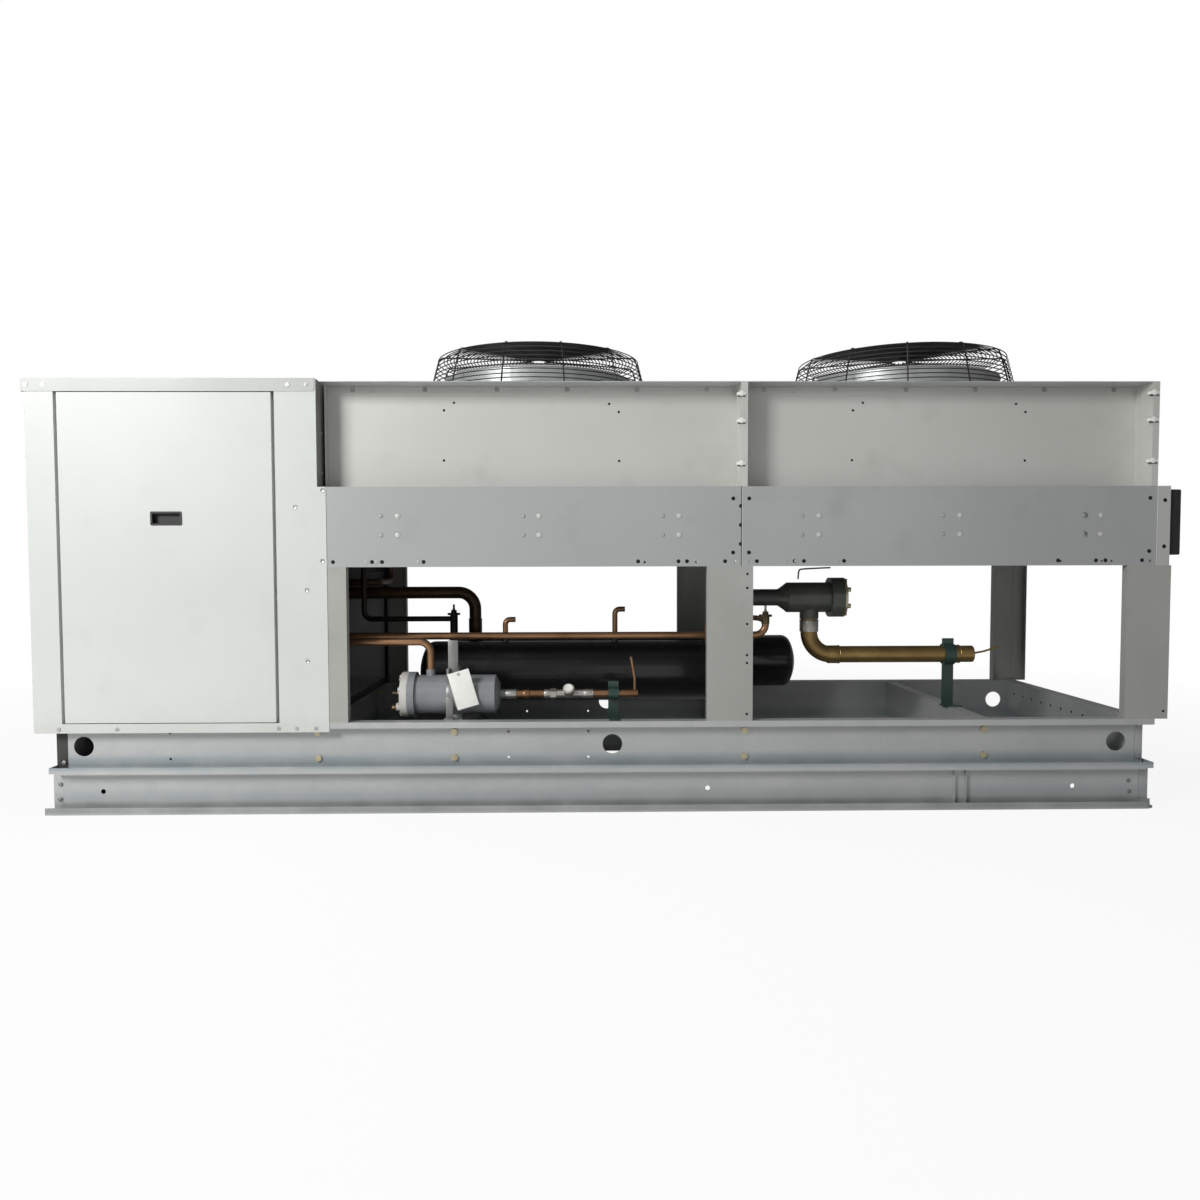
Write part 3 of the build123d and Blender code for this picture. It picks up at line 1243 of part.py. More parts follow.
def suction_return_line():
    """Suction pipe from the accumulator into the cabinet and down to the compressor."""
    route = [
        (X_ACCUMULATOR_OUT, ACCUMULATOR_DEPTH, ACCUMULATOR_TOP + NOZZLE_HEIGHT),
        (X_ACCUMULATOR_OUT, ACCUMULATOR_DEPTH, SUCTION_RETURN_Z),
        (X_SUCTION_VALVE, ACCUMULATOR_DEPTH, SUCTION_RETURN_Z),
        (X_SUCTION_VALVE, 0, SUCTION_RETURN_Z),
        (X_SUCTION_VALVE, 0, SUCTION_VALVE_Z),
    ]
    return pipe(route, SUCTION_RETURN_OD, SUCTION_RETURN_BEND)


def discharge_line():
    """Hot gas line from the compressor's discharge valve up to the coil's inlet manifold."""
    y = HEAD_WIDTH / 2 + VALVE_WIDTH / 2
    route = [
        (X_DISCHARGE, y, DISCHARGE_VALVE_Z),
        (X_DISCHARGE, y, DISCHARGE_Z),
        (X_HEADER, y, DISCHARGE_Z),
        (X_HEADER, DISCHARGE_Y, DISCHARGE_Z),
        (X_HEADER, DISCHARGE_Y, INLET_HEADER_Z),
    ]
    line = pipe(route, DISCHARGE_OD, DISCHARGE_BEND)
    return line - rod(X_HEADER, FRONT, INLET_HEADER_Z, HEADER_RADIUS, CASE_DEPTH, (0, 1, 0))


def pipe_clamp(x, y, z, diameter, foot_z, width):
    """Clamp with a cushion ring round a pipe on a strut that stands on the base."""
    strut = block(x - width / 2, x + width / 2, y - 5, y + 5, foot_z, z + diameter / 2 + 30)
    foot = block(x - width / 2, x + width / 2 + 30, y - 25, y + 25, foot_z, foot_z + 5)
    ring = rod(x - width / 2, y, z, diameter / 2 + 9, width, (1, 0, 0))
    return strut + foot + ring - rod(x - width, y, z, diameter / 2 + SEAT, 2 * width, (1, 0, 0))


def liquid_clamp():
    """Angle strut from the front rail that reaches in and holds the liquid stub."""
    x, width = X_LIQUID_CLAMP, SADDLE_WIDTH
    y = DRIER_DEPTH + 22
    foot = block(x - width / 2, x + width / 2, FRONT + 6, y, Z_DECK, Z_DECK + 5)
    upright = block(x - width / 2, x + width / 2, y - 5, y, Z_DECK, DRIER_Z + 45)
    ring = rod(x - width / 2, DRIER_DEPTH, DRIER_Z, LIQUID_OD / 2 + 9, width, (1, 0, 0))
    hole = rod(x - width, DRIER_DEPTH, DRIER_Z, LIQUID_OD / 2 + SEAT, 2 * width, (1, 0, 0))
    return foot + upright + ring - hole


def drier_strap():
    """Band round the drier on a foot that stands on the cross member."""
    x, width = SADDLE_STATIONS[0], SADDLE_WIDTH
    band = rod(x - width / 2, DRIER_DEPTH, DRIER_Z, DRIER_RADIUS + SEAT + 3, width, (1, 0, 0))
    y0, y1 = DRIER_DEPTH - 30, DRIER_DEPTH + 30
    foot = block(x - width / 2, x + width / 2, y0, y1, Z_CROSS, DRIER_Z)
    barrel = rod(x - width, DRIER_DEPTH, DRIER_Z, DRIER_RADIUS + SEAT, 2 * width, (1, 0, 0))
    return band + foot - barrel


def relief_fittings():
    """Copper relief elbows on the receiver's top, their outlets to the right."""
    parts = []
    for x, rise in zip(RELIEF_PLACES, RELIEF_RISES):
        z = RECEIVER_TOP + RELIEF_NECK
        start = X_RECEIVER + x
        high = z + rise
        route = [
            (start, RECEIVER_DEPTH, z),
            (start, RECEIVER_DEPTH, high),
            (start + RELIEF_RUN, RECEIVER_DEPTH, high),
        ]
        parts.append(pipe(route, RELIEF_OD, RELIEF_BEND))
    return parts


def paper_tag():
    """Blank card tag that hangs from a wire ring round the drier's service port."""
    card_y = DRIER_DEPTH - DRIER_RADIUS - TAG_STAND_OFF
    centre = Pos(X_SERVICE_PORT + TAG_SHIFT, card_y, DRIER_Z + TAG_RISE)
    card = centre * Rot(0, TAG_LEAN, 0) * Box(TAG_WIDTH, TAG_CARD, TAG_LENGTH)
    ring_z = DRIER_Z + DRIER_RADIUS + TAG_WIRE + SEAT
    ring = Pos(X_SERVICE_PORT, DRIER_DEPTH, ring_z) * Torus(PORT_RADIUS + TAG_WIRE + SEAT, TAG_WIRE)
    top = Vector(X_SERVICE_PORT + TAG_SHIFT * 0.75, card_y, DRIER_Z + DRIER_RADIUS + 8)
    start = Vector(X_SERVICE_PORT, DRIER_DEPTH - PORT_RADIUS - 2 * TAG_WIRE, ring_z)
    run = top - start
    return card + ring + rod(start.X, start.Y, start.Z, TAG_WIRE, run.length, run)


def build_piping():
    save("receiver_tank", receiver())
    save("suction_accumulator", accumulator())
    saddles = [saddle(x, RECEIVER_DEPTH, RECEIVER_RADIUS) for x in SADDLE_STATIONS]
    saddles += [saddle(x, ACCUMULATOR_DEPTH, ACCUMULATOR_RADIUS) for x in SADDLE_STATIONS]
    save("vessel_saddles", Compound(saddles))
    save("filter_drier", drier_shell())
    save("drier_cover", drier_cover())
    save("liquid_return_line", liquid_return_line())
    save("liquid_line", Compound(liquid_line()))
    save("sight_glass", sight_glass())
    save("receiver_lines", Compound([receiver_inlet_line(), outlet_bridge()] + relief_fittings()))
    inlet = angle_valve(X_INLET_VALVE, RECEIVER_DEPTH, RECEIVER_TOP + NOZZLE_HEIGHT)
    outlet = angle_valve(X_OUTLET_VALVE, LONG_PIPE_DEPTH, VALVE_BODY_LOW)
    save("receiver_valves", Compound([inlet, outlet]))
    save("inlet_valve_stem", valve_stem(X_INLET_VALVE, RECEIVER_DEPTH))
    save("outlet_valve_stem", valve_stem(X_OUTLET_VALVE, LONG_PIPE_DEPTH))
    save("suction_inlet_line", suction_inlet_line())
    save("suction_filter", suction_filter())
    save("filter_cover", filter_cover())
    save("accumulator_inlet_line", accumulator_inlet_line())
    save("suction_return_line", suction_return_line())
    save("discharge_line", discharge_line())
    mid_member = X_BASE + CROSS_MEMBERS[3]
    clamps = [
        pipe_clamp(mid_member - 20, SUCTION_DEPTH, SUCTION_Z, SUCTION_OD, Z_CROSS, 44),
        liquid_clamp(),
        drier_strap(),
    ]
    save("pipe_clamps", Compound(clamps))
    save("paper_tag", paper_tag())


build_base()
build_legs()
build_cabinet()
build_machinery()
build_coil()
build_fans()
build_piping()
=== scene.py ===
import json
import math
import bpy
from mathutils import Matrix, Vector


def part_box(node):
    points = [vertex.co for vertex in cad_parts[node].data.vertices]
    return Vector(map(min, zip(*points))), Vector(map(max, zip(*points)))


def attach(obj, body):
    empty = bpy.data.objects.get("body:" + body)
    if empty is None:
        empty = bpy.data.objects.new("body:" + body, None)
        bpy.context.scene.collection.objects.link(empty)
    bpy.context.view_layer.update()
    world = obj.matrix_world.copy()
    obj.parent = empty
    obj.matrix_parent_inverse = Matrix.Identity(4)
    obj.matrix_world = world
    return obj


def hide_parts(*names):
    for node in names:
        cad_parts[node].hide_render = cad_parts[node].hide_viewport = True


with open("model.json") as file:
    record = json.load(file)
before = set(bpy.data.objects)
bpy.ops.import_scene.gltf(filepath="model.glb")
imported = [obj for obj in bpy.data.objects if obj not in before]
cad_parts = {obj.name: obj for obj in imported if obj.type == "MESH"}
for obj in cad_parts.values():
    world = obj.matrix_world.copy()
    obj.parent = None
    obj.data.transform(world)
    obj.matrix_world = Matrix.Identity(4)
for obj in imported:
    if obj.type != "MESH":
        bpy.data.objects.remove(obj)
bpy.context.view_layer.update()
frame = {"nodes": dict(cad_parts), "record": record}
nodes = frame["nodes"]
print("frame loaded")


class Value:
    def __init__(self, tree, socket):
        self.tree = tree
        self.socket = socket

    def calc(self, operation, first, second):
        node = self.tree.make("ShaderNodeMath", {"operation": operation}, {0: first, 1: second})
        return Value(self.tree, node.outputs[0])

    def __add__(self, other):
        return self.calc("ADD", self, other)

    def __sub__(self, other):
        return self.calc("SUBTRACT", self, other)

    def __rsub__(self, other):
        return self.calc("SUBTRACT", other, self)

    def __mul__(self, other):
        return self.calc("MULTIPLY", self, other)

    __radd__ = __add__
    __rmul__ = __mul__


class NodeTree:
    def __init__(self, tree):
        self.tree = tree
        self.tree.nodes.clear()

    def make(self, kind, settings=None, inputs=None):
        node = self.tree.nodes.new(kind)
        for key, value in (settings or {}).items():
            setattr(node, key, value)
        for key, value in (inputs or {}).items():
            self.feed(node.inputs[key], value)
        return node

    def feed(self, socket, value):
        # a link where the value comes from a node, else the value itself
        if isinstance(value, Value):
            value = value.socket
        if isinstance(value, bpy.types.NodeSocket):
            self.tree.links.new(value, socket)
        else:
            socket.default_value = value


class Shader(NodeTree):
    def __init__(self, name):
        self.material = bpy.data.materials.new(name)
        self.material.use_nodes = True
        super().__init__(self.material.node_tree)
        self.surface = self.make("ShaderNodeBsdfPrincipled")
        self.output = self.make("ShaderNodeOutputMaterial", None, {0: self.surface.outputs[0]})
        self.place = self.make("ShaderNodeTexCoord").outputs["Object"]

    def noise(self, scale, detail, stretch=(1, 1, 1)):
        mapping = self.make("ShaderNodeMapping", None, {"Vector": self.place, "Scale": stretch})
        inputs = {"Vector": mapping.outputs[0], "Scale": scale, "Detail": detail}
        return Value(self, self.make("ShaderNodeTexNoise", None, inputs).outputs[0])

    def band(self, source, low, high):
        inputs = {"Value": source, "From Min": low, "From Max": high}
        return Value(self, self.make("ShaderNodeMapRange", {"clamp": True}, inputs).outputs[0])

    def mix(self, share, first, second):
        inputs = {0: share, 6: first, 7: second}
        return self.make("ShaderNodeMix", {"data_type": "RGBA"}, inputs).outputs[2]

    def along(self, axis):
        split = self.make("ShaderNodeSeparateXYZ", None, {0: self.place})
        return Value(self, split.outputs[axis])

    def plug(self, name, value):
        self.feed(self.surface.inputs[name], value)

    def bump(self, source, strength, distance):
        inputs = {"Strength": strength, "Distance": distance, "Height": source}
        self.plug("Normal", self.make("ShaderNodeBump", None, inputs).outputs[0])

    def streaks(self, colour, bands, look):
        # uneven stains between two heights
        level = self.along("Z")
        for low, high, share, shade in bands:
            rise = self.band(level, low - look["rise"], low + look["rise"])
            fall = 1 - self.band(level, high - look["fall"], high + look["fall"])
            flow = self.noise(look["scale"], look["detail"], (1, 1, look["drag"]))
            patch = self.band(flow, *look["range"]) * look["depth"] + (1 - look["depth"])
            colour = self.mix(rise * fall * patch * share, colour, tone(shade))
        return colour


def tone(colour):
    return (*colour, 1)


plainLook = {
    "cloudScale": 3.0, "cloudDetail": 5.0, "cloudRange": (0.35, 0.68), "roughVary": 0.12, "metal": 0.0,
    "dirtScale": 16.0, "dirtDetail": 6.0, "dirtRange": (0.58, 0.74), "dirtShare": 0.35,
    "grainScale": 220.0, "grainDetail": 3.0, "bump": 0.08, "bumpDepth": 0.001, "coatRough": 0.08,
    "streak": {"rise": 0.012, "fall": 0.02, "scale": 5.0, "detail": 4.0, "drag": 0.35,
               "range": (0.3, 0.7), "depth": 0.6},
    "edgeFade": 0.004,
}


def makeFinish(name, ownLook):
    look = {**plainLook, **ownLook}
    shader = Shader(name)
    clouds = shader.noise(look["cloudScale"], look["cloudDetail"])
    share = shader.band(clouds, *look["cloudRange"])
    colour = shader.mix(share, tone(look["base"]), tone(look["worn"]))
    if "dirt" in look:
        specks = shader.noise(look["dirtScale"], look["dirtDetail"])
        share = shader.band(specks, *look["dirtRange"]) * look["dirtShare"]
        colour = shader.mix(share, colour, tone(look["dirt"]))
    if "bands" in look:
        colour = shader.streaks(colour, look["bands"], look["streak"])
    if "below" in look:  # a second colour for what lies below one place on an axis
        axis, edge, shade = look["below"]
        share = shader.band(shader.along(axis), edge - look["edgeFade"], edge)
        colour = shader.mix(share, tone(shade), colour)
    shader.plug("Base Color", colour)
    shader.plug("Roughness", clouds * look["roughVary"] + (look["rough"] - look["roughVary"] / 2))
    shader.plug("Metallic", look["metal"])
    if "coat" in look:
        shader.plug("Coat Weight", look["coat"])
        shader.plug("Coat Roughness", look["coatRough"])
    grain = shader.noise(look["grainScale"], look["grainDetail"])
    shader.bump(grain, look["bump"], look["bumpDepth"])
    return shader.material


zincLook = {
    "cloudScale": 2.2, "cloudDetail": 5.0, "cloudRange": (0.3, 0.7), "flakeShare": 0.35,
    "roughVary": 0.12, "bump": 0.06, "bumpDepth": 0.002, "flakeBump": 0.2, "bands": (),
    "streak": {"rise": 0.006, "fall": 0.012, "scale": 4.0, "detail": 5.0, "drag": 0.4,
               "range": (0.3, 0.62), "depth": 0.7},
}


def makeGalvanised(name, ownLook):
    look = {**zincLook, **ownLook}
    shader = Shader(name)
    inputs = {"Vector": shader.place, "Scale": look["spangle"]}
    cells = shader.make("ShaderNodeTexVoronoi", {"feature": "F1"}, inputs)
    cellTone = shader.make("ShaderNodeSeparateColor", None, {0: cells.outputs["Color"]})
    flake = Value(shader, cellTone.outputs[0])
    clouds = shader.noise(look["cloudScale"], look["cloudDetail"])
    cloudShare = shader.band(clouds, *look["cloudRange"]) * (1 - look["flakeShare"])
    share = flake * look["flakeShare"] + cloudShare
    colour = shader.mix(share, tone(look["base"]), tone(look["worn"]))
    shader.plug("Base Color", shader.streaks(colour, look["bands"], look["streak"]))
    shader.plug("Metallic", look["metal"])
    shader.plug("Roughness", flake * look["roughVary"] + look["rough"])
    shader.bump(clouds + flake * look["flakeBump"], look["bump"], look["bumpDepth"])
    return shader.material


def makeFins(name, look):
    shader = Shader(name)
    inputs = {"Vector": shader.place, "Scale": look["scale"], "Distortion": look["waver"]}
    plates = shader.make("ShaderNodeTexWave", {"bands_direction": "X"}, inputs)
    lines = Value(shader, plates.outputs["Fac"])
    # dark lines between the fin plates: painted shade in the gaps
    shader.plug("Base Color", shader.mix(lines, tone(look["gapShade"]), tone(look["fin"])))
    shader.plug("Metallic", look["metal"])
    shader.plug("Roughness", look["rough"])
    shader.bump(lines, look["bump"], look["bumpDepth"])
    return shader.material


finishLooks = {
    "cabinet_paint": {
        "base": (0.62, 0.64, 0.61), "worn": (0.565, 0.59, 0.565), "rough": 0.42, "cloudScale": 1.4,
        "dirt": (0.42, 0.42, 0.38), "dirtShare": 0.14, "dirtScale": 7.0, "coat": 0.15,
        "bands": [(0.28, 0.345, 0.35, (0.45, 0.45, 0.42))],
    },
    "module_sheet": {
        "base": (0.52, 0.53, 0.51), "worn": (0.47, 0.475, 0.455), "rough": 0.42, "cloudScale": 1.1,
        "dirt": (0.27, 0.27, 0.25), "dirtShare": 0.22, "dirtScale": 6.0, "coat": 0.1, "metal": 0.15,
    },
    "yellow_zinc": {"base": (0.62, 0.55, 0.36), "worn": (0.48, 0.43, 0.30), "rough": 0.35,
                    "metal": 0.9, "cloudScale": 40.0},
    "screw_steel": {"base": (0.50, 0.51, 0.50), "worn": (0.35, 0.35, 0.34), "rough": 0.35,
                    "metal": 0.9, "cloudScale": 60.0},
    "vessel_black": {"base": (0.006, 0.006, 0.007), "worn": (0.011, 0.011, 0.012), "rough": 0.26,
                     "coat": 0.15, "cloudScale": 4.0, "bump": 0.04, "dirt": (0.06, 0.055, 0.05),
                     "dirtShare": 0.12},
    "black_pipe": {"base": (0.035, 0.036, 0.036), "worn": (0.07, 0.068, 0.062), "rough": 0.38,
                   "cloudScale": 9.0, "dirt": (0.16, 0.13, 0.10), "dirtShare": 0.25},
    "copper_tube": {"base": (0.42, 0.235, 0.125), "worn": (0.25, 0.135, 0.07), "rough": 0.34,
                    "metal": 0.85, "cloudScale": 8.0, "dirt": (0.20, 0.13, 0.09), "dirtShare": 0.5},
    "aged_copper": {"base": (0.40, 0.27, 0.10), "worn": (0.26, 0.17, 0.07), "rough": 0.36,
                    "metal": 0.8, "cloudScale": 7.0, "dirt": (0.13, 0.09, 0.06), "dirtShare": 0.5},
    "drier_grey": {"base": (0.26, 0.27, 0.28), "worn": (0.20, 0.21, 0.22), "rough": 0.35,
                   "coat": 0.2, "cloudScale": 12.0},
    "flange_cream": {"base": (0.62, 0.61, 0.57), "worn": (0.50, 0.49, 0.45), "rough": 0.45,
                     "cloudScale": 14.0},
    "filter_green": {"base": (0.055, 0.062, 0.05), "worn": (0.08, 0.085, 0.07), "rough": 0.36,
                     "coat": 0.3, "cloudScale": 12.0},
    "valve_body": {"base": (0.20, 0.15, 0.08), "worn": (0.10, 0.08, 0.05), "rough": 0.42,
                   "metal": 0.8, "cloudScale": 18.0},
    "valve_steel": {"base": (0.33, 0.33, 0.33), "worn": (0.22, 0.22, 0.22), "rough": 0.38,
                    "metal": 0.85, "cloudScale": 20.0},
    "clamp_green": {"base": (0.018, 0.045, 0.036), "worn": (0.03, 0.06, 0.05), "rough": 0.4,
                    "coat": 0.2, "cloudScale": 12.0},
    "black_plastic": {"base": (0.012, 0.012, 0.013), "worn": (0.022, 0.022, 0.023), "rough": 0.5,
                      "bump": 0.15, "cloudScale": 10.0},
    "guard_wire": {"base": (0.012, 0.012, 0.012), "worn": (0.03, 0.03, 0.03), "rough": 0.42,
                   "cloudScale": 8.0, "metal": 0.2},
    "fan_blade": {"base": (0.045, 0.046, 0.05), "worn": (0.07, 0.07, 0.072), "rough": 0.42,
                  "metal": 0.4, "cloudScale": 6.0},
    "motor_paint": {"base": (0.05, 0.05, 0.055), "worn": (0.08, 0.08, 0.08), "rough": 0.45,
                    "cloudScale": 9.0},
    "compressor_paint": {"base": (0.05, 0.07, 0.09), "worn": (0.08, 0.10, 0.12), "rough": 0.5,
                         "cloudScale": 9.0, "bump": 0.25},
    "tag_card": {"base": (0.86, 0.86, 0.82), "worn": (0.78, 0.77, 0.72), "rough": 0.7,
                 "cloudScale": 20.0},
    "socket_silver": {"base": (0.55, 0.54, 0.50), "worn": (0.42, 0.40, 0.36), "rough": 0.4,
                      "metal": 0.9, "cloudScale": 20.0},
    # near-black: painted shade inside the holes, and the dark joint line between the casing modules
    "hole_dark": {"base": (0.004, 0.004, 0.004), "worn": (0.008, 0.008, 0.008), "rough": 0.9},
    "band_sheet": {
        "base": (0.40, 0.425, 0.42), "worn": (0.36, 0.375, 0.365), "rough": 0.40, "cloudScale": 1.1,
        "dirt": (0.25, 0.25, 0.23), "dirtShare": 0.25, "dirtScale": 6.0, "coat": 0.1, "metal": 0.15,
    },
    "leg_sheet": {
        "base": (0.41, 0.41, 0.385), "worn": (0.35, 0.35, 0.325), "rough": 0.42, "cloudScale": 1.6,
        "dirt": (0.24, 0.235, 0.21), "dirtShare": 0.25, "dirtScale": 8.0, "coat": 0.1, "metal": 0.15,
    },
    "plenum_sheet": {
        "base": (0.60, 0.60, 0.565), "worn": (0.54, 0.54, 0.505), "rough": 0.42, "cloudScale": 1.1,
        "dirt": (0.34, 0.34, 0.31), "dirtShare": 0.2, "dirtScale": 6.0, "coat": 0.1, "metal": 0.15,
    },
    "lid_paint": {
        "base": (0.50, 0.515, 0.49), "worn": (0.45, 0.465, 0.44), "rough": 0.42, "cloudScale": 1.4,
        "dirt": (0.34, 0.34, 0.31), "dirtShare": 0.14, "dirtScale": 7.0, "coat": 0.15,
    },
    # near-black: painted shadow for the strips under the clip plates; also used for the drier gasket
    # and the left corner gusset
    "wall_dark": {"base": (0.055, 0.055, 0.052), "worn": (0.035, 0.035, 0.033), "rough": 0.6,
                  "cloudScale": 5.0},
    "strap_grey": {"base": (0.30, 0.30, 0.29), "worn": (0.20, 0.20, 0.19), "rough": 0.42,
                   "metal": 0.5, "cloudScale": 12.0},
    "line_dark": {"base": (0.13, 0.075, 0.042), "worn": (0.05, 0.032, 0.02), "rough": 0.38,
                  "metal": 0.6, "cloudScale": 9.0},
}
clamp, copper, valve, wall = [finishLooks[name] for name in ("clamp_green", "copper_tube", "valve_body",
                                                             "wall_dark")]
finishLooks.update({
    "clampsMixed": dict(clamp, below=("X", -0.3, (0.24, 0.25, 0.25))),
    "receiverPipes": dict(copper, below=("X", -0.58, (0.03, 0.024, 0.02))),
    "valvesMixed": dict(valve, below=("X", -0.3, (0.012, 0.012, 0.012))),
    # the cabinet's right wall: grey, and near-black below 0.9 m as painted shade inside the compartment
    "wallShadedBelow": dict(wall, base=(0.26, 0.26, 0.245), worn=(0.2, 0.2, 0.19),
                      below=("Z", 0.9, (0.022, 0.022, 0.02))),
})
stainBlue = (0.20, 0.27, 0.31)
zincLooks = {
    "galvanised_steel": {
        "spangle": 26.0, "base": (0.42, 0.44, 0.44), "worn": (0.50, 0.51, 0.50), "metal": 0.35,
        "rough": 0.38,
        "bands": [(0.165, 0.205, 0.55, stainBlue), (0.005, 0.035, 0.5, (0.16, 0.17, 0.17)),
                  (0.045, 0.075, 0.25, stainBlue)],
    },
    "collar_sheet": {"spangle": 30.0, "base": (0.48, 0.50, 0.50), "worn": (0.58, 0.59, 0.59),
                     "metal": 0.45, "rough": 0.36},
}
finLook = {"scale": 70.0, "waver": 0.4, "gapShade": (0.10, 0.11, 0.12), "fin": (0.52, 0.54, 0.55),
           "metal": 0.8, "rough": 0.45, "bump": 0.4, "bumpDepth": 0.002}
finishes = {name: makeFinish(name, look) for name, look in finishLooks.items()}
for name, look in zincLooks.items():
    finishes[name] = makeGalvanised(name, look)
finishes["fin_stock"] = makeFins("fin_stock", finLook)
print("finishes ready:", len(finishes))

dressAs = {
    "band_sheet": ("coil_casing_front", "coil_casing_rear"),
    "leg_sheet": ("leg_front_left", "leg_front_middle", "leg_front_right", "legs_rear"),
    "plenum_sheet": ("plenum_panels", "plenum_bulkheads"),
    "lid_paint": ("cabinet_lid",),
    "wallShadedBelow": ("cabinet_right_wall",),
    "valvesMixed": ("receiver_valves",),
    "black_plastic": ("inlet_valve_stem",),
    "clampsMixed": ("pipe_clamps",),
    "receiverPipes": ("receiver_lines",),
    "line_dark": ("discharge_line", "suction_return_line"),
    "socket_silver": ("sight_glass",),
    "aged_copper": ("suction_inlet_line",),
}
ownFinish = {node: finish for finish, group in dressAs.items() for node in group}
nodeSlots = {row["node"]: row["material_slot"] for row in frame["record"]["subparts"]}
nodeDress = {"weld": 0.00002, "splitAngle": 32}
for name, node in nodes.items():
    material = finishes[ownFinish.get(name, nodeSlots[name])]
    for slot in node.material_slots:
        slot.material = material
    if not node.material_slots:
        node.data.materials.append(material)
    for face in node.data.polygons:
        face.use_smooth = True
    weld = node.modifiers.new("weld", "WELD")
    weld.merge_threshold = nodeDress["weld"]
    split = node.modifiers.new("split", "EDGE_SPLIT")
    split.split_angle = math.radians(nodeDress["splitAngle"])
print("nodes dressed")


def clearSelection():
    if bpy.context.object and bpy.context.object.mode != "OBJECT":
        bpy.ops.object.mode_set(mode="OBJECT")
    bpy.ops.object.select_all(action="DESELECT")


def only(piece):
    clearSelection()
    piece.select_set(True)
    bpy.context.view_layer.objects.active = piece


def turnTo(axis):
    return Vector(axis).to_track_quat("Z", "Y").to_euler()


def finishPiece(piece, name, slot, angle=35):
    only(piece)
    bpy.ops.object.transform_apply(location=True, rotation=True, scale=True)
    piece.name = name
    piece.data.name = name
    piece.data.materials.clear()
    piece.data.materials.append(finishes[slot])
    bpy.ops.object.shade_smooth_by_angle(angle=math.radians(angle))
    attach(piece, "unit")
    slot in nodeSlots.values()
    return piece


def joinPieces(pieces):
    clearSelection()
    for piece in pieces:
        piece.select_set(True)
    bpy.context.view_layer.objects.active = pieces[0]
    bpy.ops.object.join()
    return bpy.context.object


def applyBevel(piece, width, segments=2, limit=30):
    only(piece)
    bevel = piece.modifiers.new("bevel", "BEVEL")
    bevel.width = width
    bevel.segments = segments
    bevel.limit_method = "ANGLE"
    bevel.angle_limit = math.radians(limit)
    bpy.ops.object.modifier_apply(modifier=bevel.name)
    return piece


def bar(low, high, edge):
    clearSelection()
    bpy.ops.mesh.primitive_cube_add(size=1, location=[(a + b) / 2 for a, b in zip(low, high)])
    piece = bpy.context.object
    piece.scale = [b - a for a, b in zip(low, high)]
    bpy.ops.object.transform_apply(location=True, rotation=True, scale=True)
    return applyBevel(piece, edge)


def strip(face, span, levels, proud, sunk, edge):
    # a flat bar that stands proud of a front face and reaches into it
    return bar((span[0], face - proud, levels[0]), (span[1], face + sunk, levels[1]), edge)


def knob(spot, axis, radius, depth, sides=20, rim=0.0, dish=0.0, inset=0.3):
    # a round or six-sided head: its top pushed in when dish is set, its edges bevelled when rim is
    way = Vector(axis).normalized()
    clearSelection()
    bpy.ops.mesh.primitive_cylinder_add(
        vertices=sides, radius=radius, depth=depth,
        location=Vector(spot) + way * depth / 2, rotation=turnTo(axis))
    piece = bpy.context.object
    bpy.ops.object.transform_apply(location=True, rotation=True, scale=True)
    if dish:
        top = max(piece.data.polygons, key=lambda face: face.center.dot(way))
        for face in piece.data.polygons:
            face.select = face == top
        bpy.ops.object.mode_set(mode="EDIT")
        bpy.ops.mesh.select_mode(type="FACE")
        bpy.ops.mesh.inset(thickness=radius * inset, depth=0)
        bpy.ops.transform.translate(value=way * -dish)
        bpy.ops.object.mode_set(mode="OBJECT")
    if rim:
        applyBevel(piece, rim)
    return piece


def spread(piece, shifts):
    # copies of one piece, each moved by a shift, joined into one mesh
    copies = []
    for shift in shifts:
        twin = piece.copy()
        twin.data = piece.data.copy()
        twin.data.transform(Matrix.Translation(shift))
        bpy.context.collection.objects.link(twin)
        copies.append(twin)
    bpy.data.objects.remove(piece)
    return joinPieces(copies)


def rodAlong(points, radius, sides=3):
    # a round wire or tube along its points, made a mesh
    line = bpy.data.curves.new("line", "CURVE")
    line.dimensions = "3D"
    line.bevel_depth = radius
    line.bevel_resolution = sides
    line.use_fill_caps = True
    line.resolution_u = 8
    spline = line.splines.new("NURBS")
    spline.points.add(len(points) - 1)
    for point, place in zip(spline.points, points):
        point.co = (*place, 1)
    spline.order_u = 3
    spline.use_endpoint_u = True
    piece = bpy.data.objects.new("line", line)
    bpy.context.collection.objects.link(piece)
    only(piece)
    bpy.ops.object.convert(target="MESH")
    return bpy.context.object


def ring(radius, wire, spot, axis=(0, 0, 1), around=72, across=6):
    clearSelection()
    bpy.ops.mesh.primitive_torus_add(
        major_segments=around, minor_segments=across, major_radius=radius, minor_radius=wire,
        location=spot, rotation=turnTo(axis))
    bpy.ops.object.transform_apply(location=True, rotation=True, scale=True)
    return bpy.context.object


def spokes(count, turn=0.0):
    # evenly spaced ways out from the middle of a circle
    angles = [2 * math.pi * (number + turn) / count for number in range(count)]
    return [(math.cos(angle), math.sin(angle)) for angle in angles]


def inFront(spots):
    # shifts across and up, for heads modelled at the middle of a front face
    return [Vector((x, 0, z)) for x, z in spots]


def centre(box):
    return [(low + high) / 2 for low, high in zip(*box)]


# faces and edges read from the frame
toFront, toRight, toLeft, upward = (0, -1, 0), (1, 0, 0), (-1, 0, 0), (0, 0, 1)
sheet = 0.002
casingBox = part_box("coil_casing_front")
caseLeft, front, bandLow = casingBox[0]
caseRight, bandHigh = casingBox[1].x, casingBox[1].z
joint = (caseLeft + caseRight) / 2
module = joint - caseLeft
moduleStarts = (caseLeft, joint)
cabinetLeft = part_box("cabinet_front_frame")[0].x
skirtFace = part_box("cabinet_front_frame")[0].y
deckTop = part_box("plenum_panels")[1].z + sheet
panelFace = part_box("motor_mounts")[0].y - sheet
fanPlaces = [start + module / 2 for start in moduleStarts]

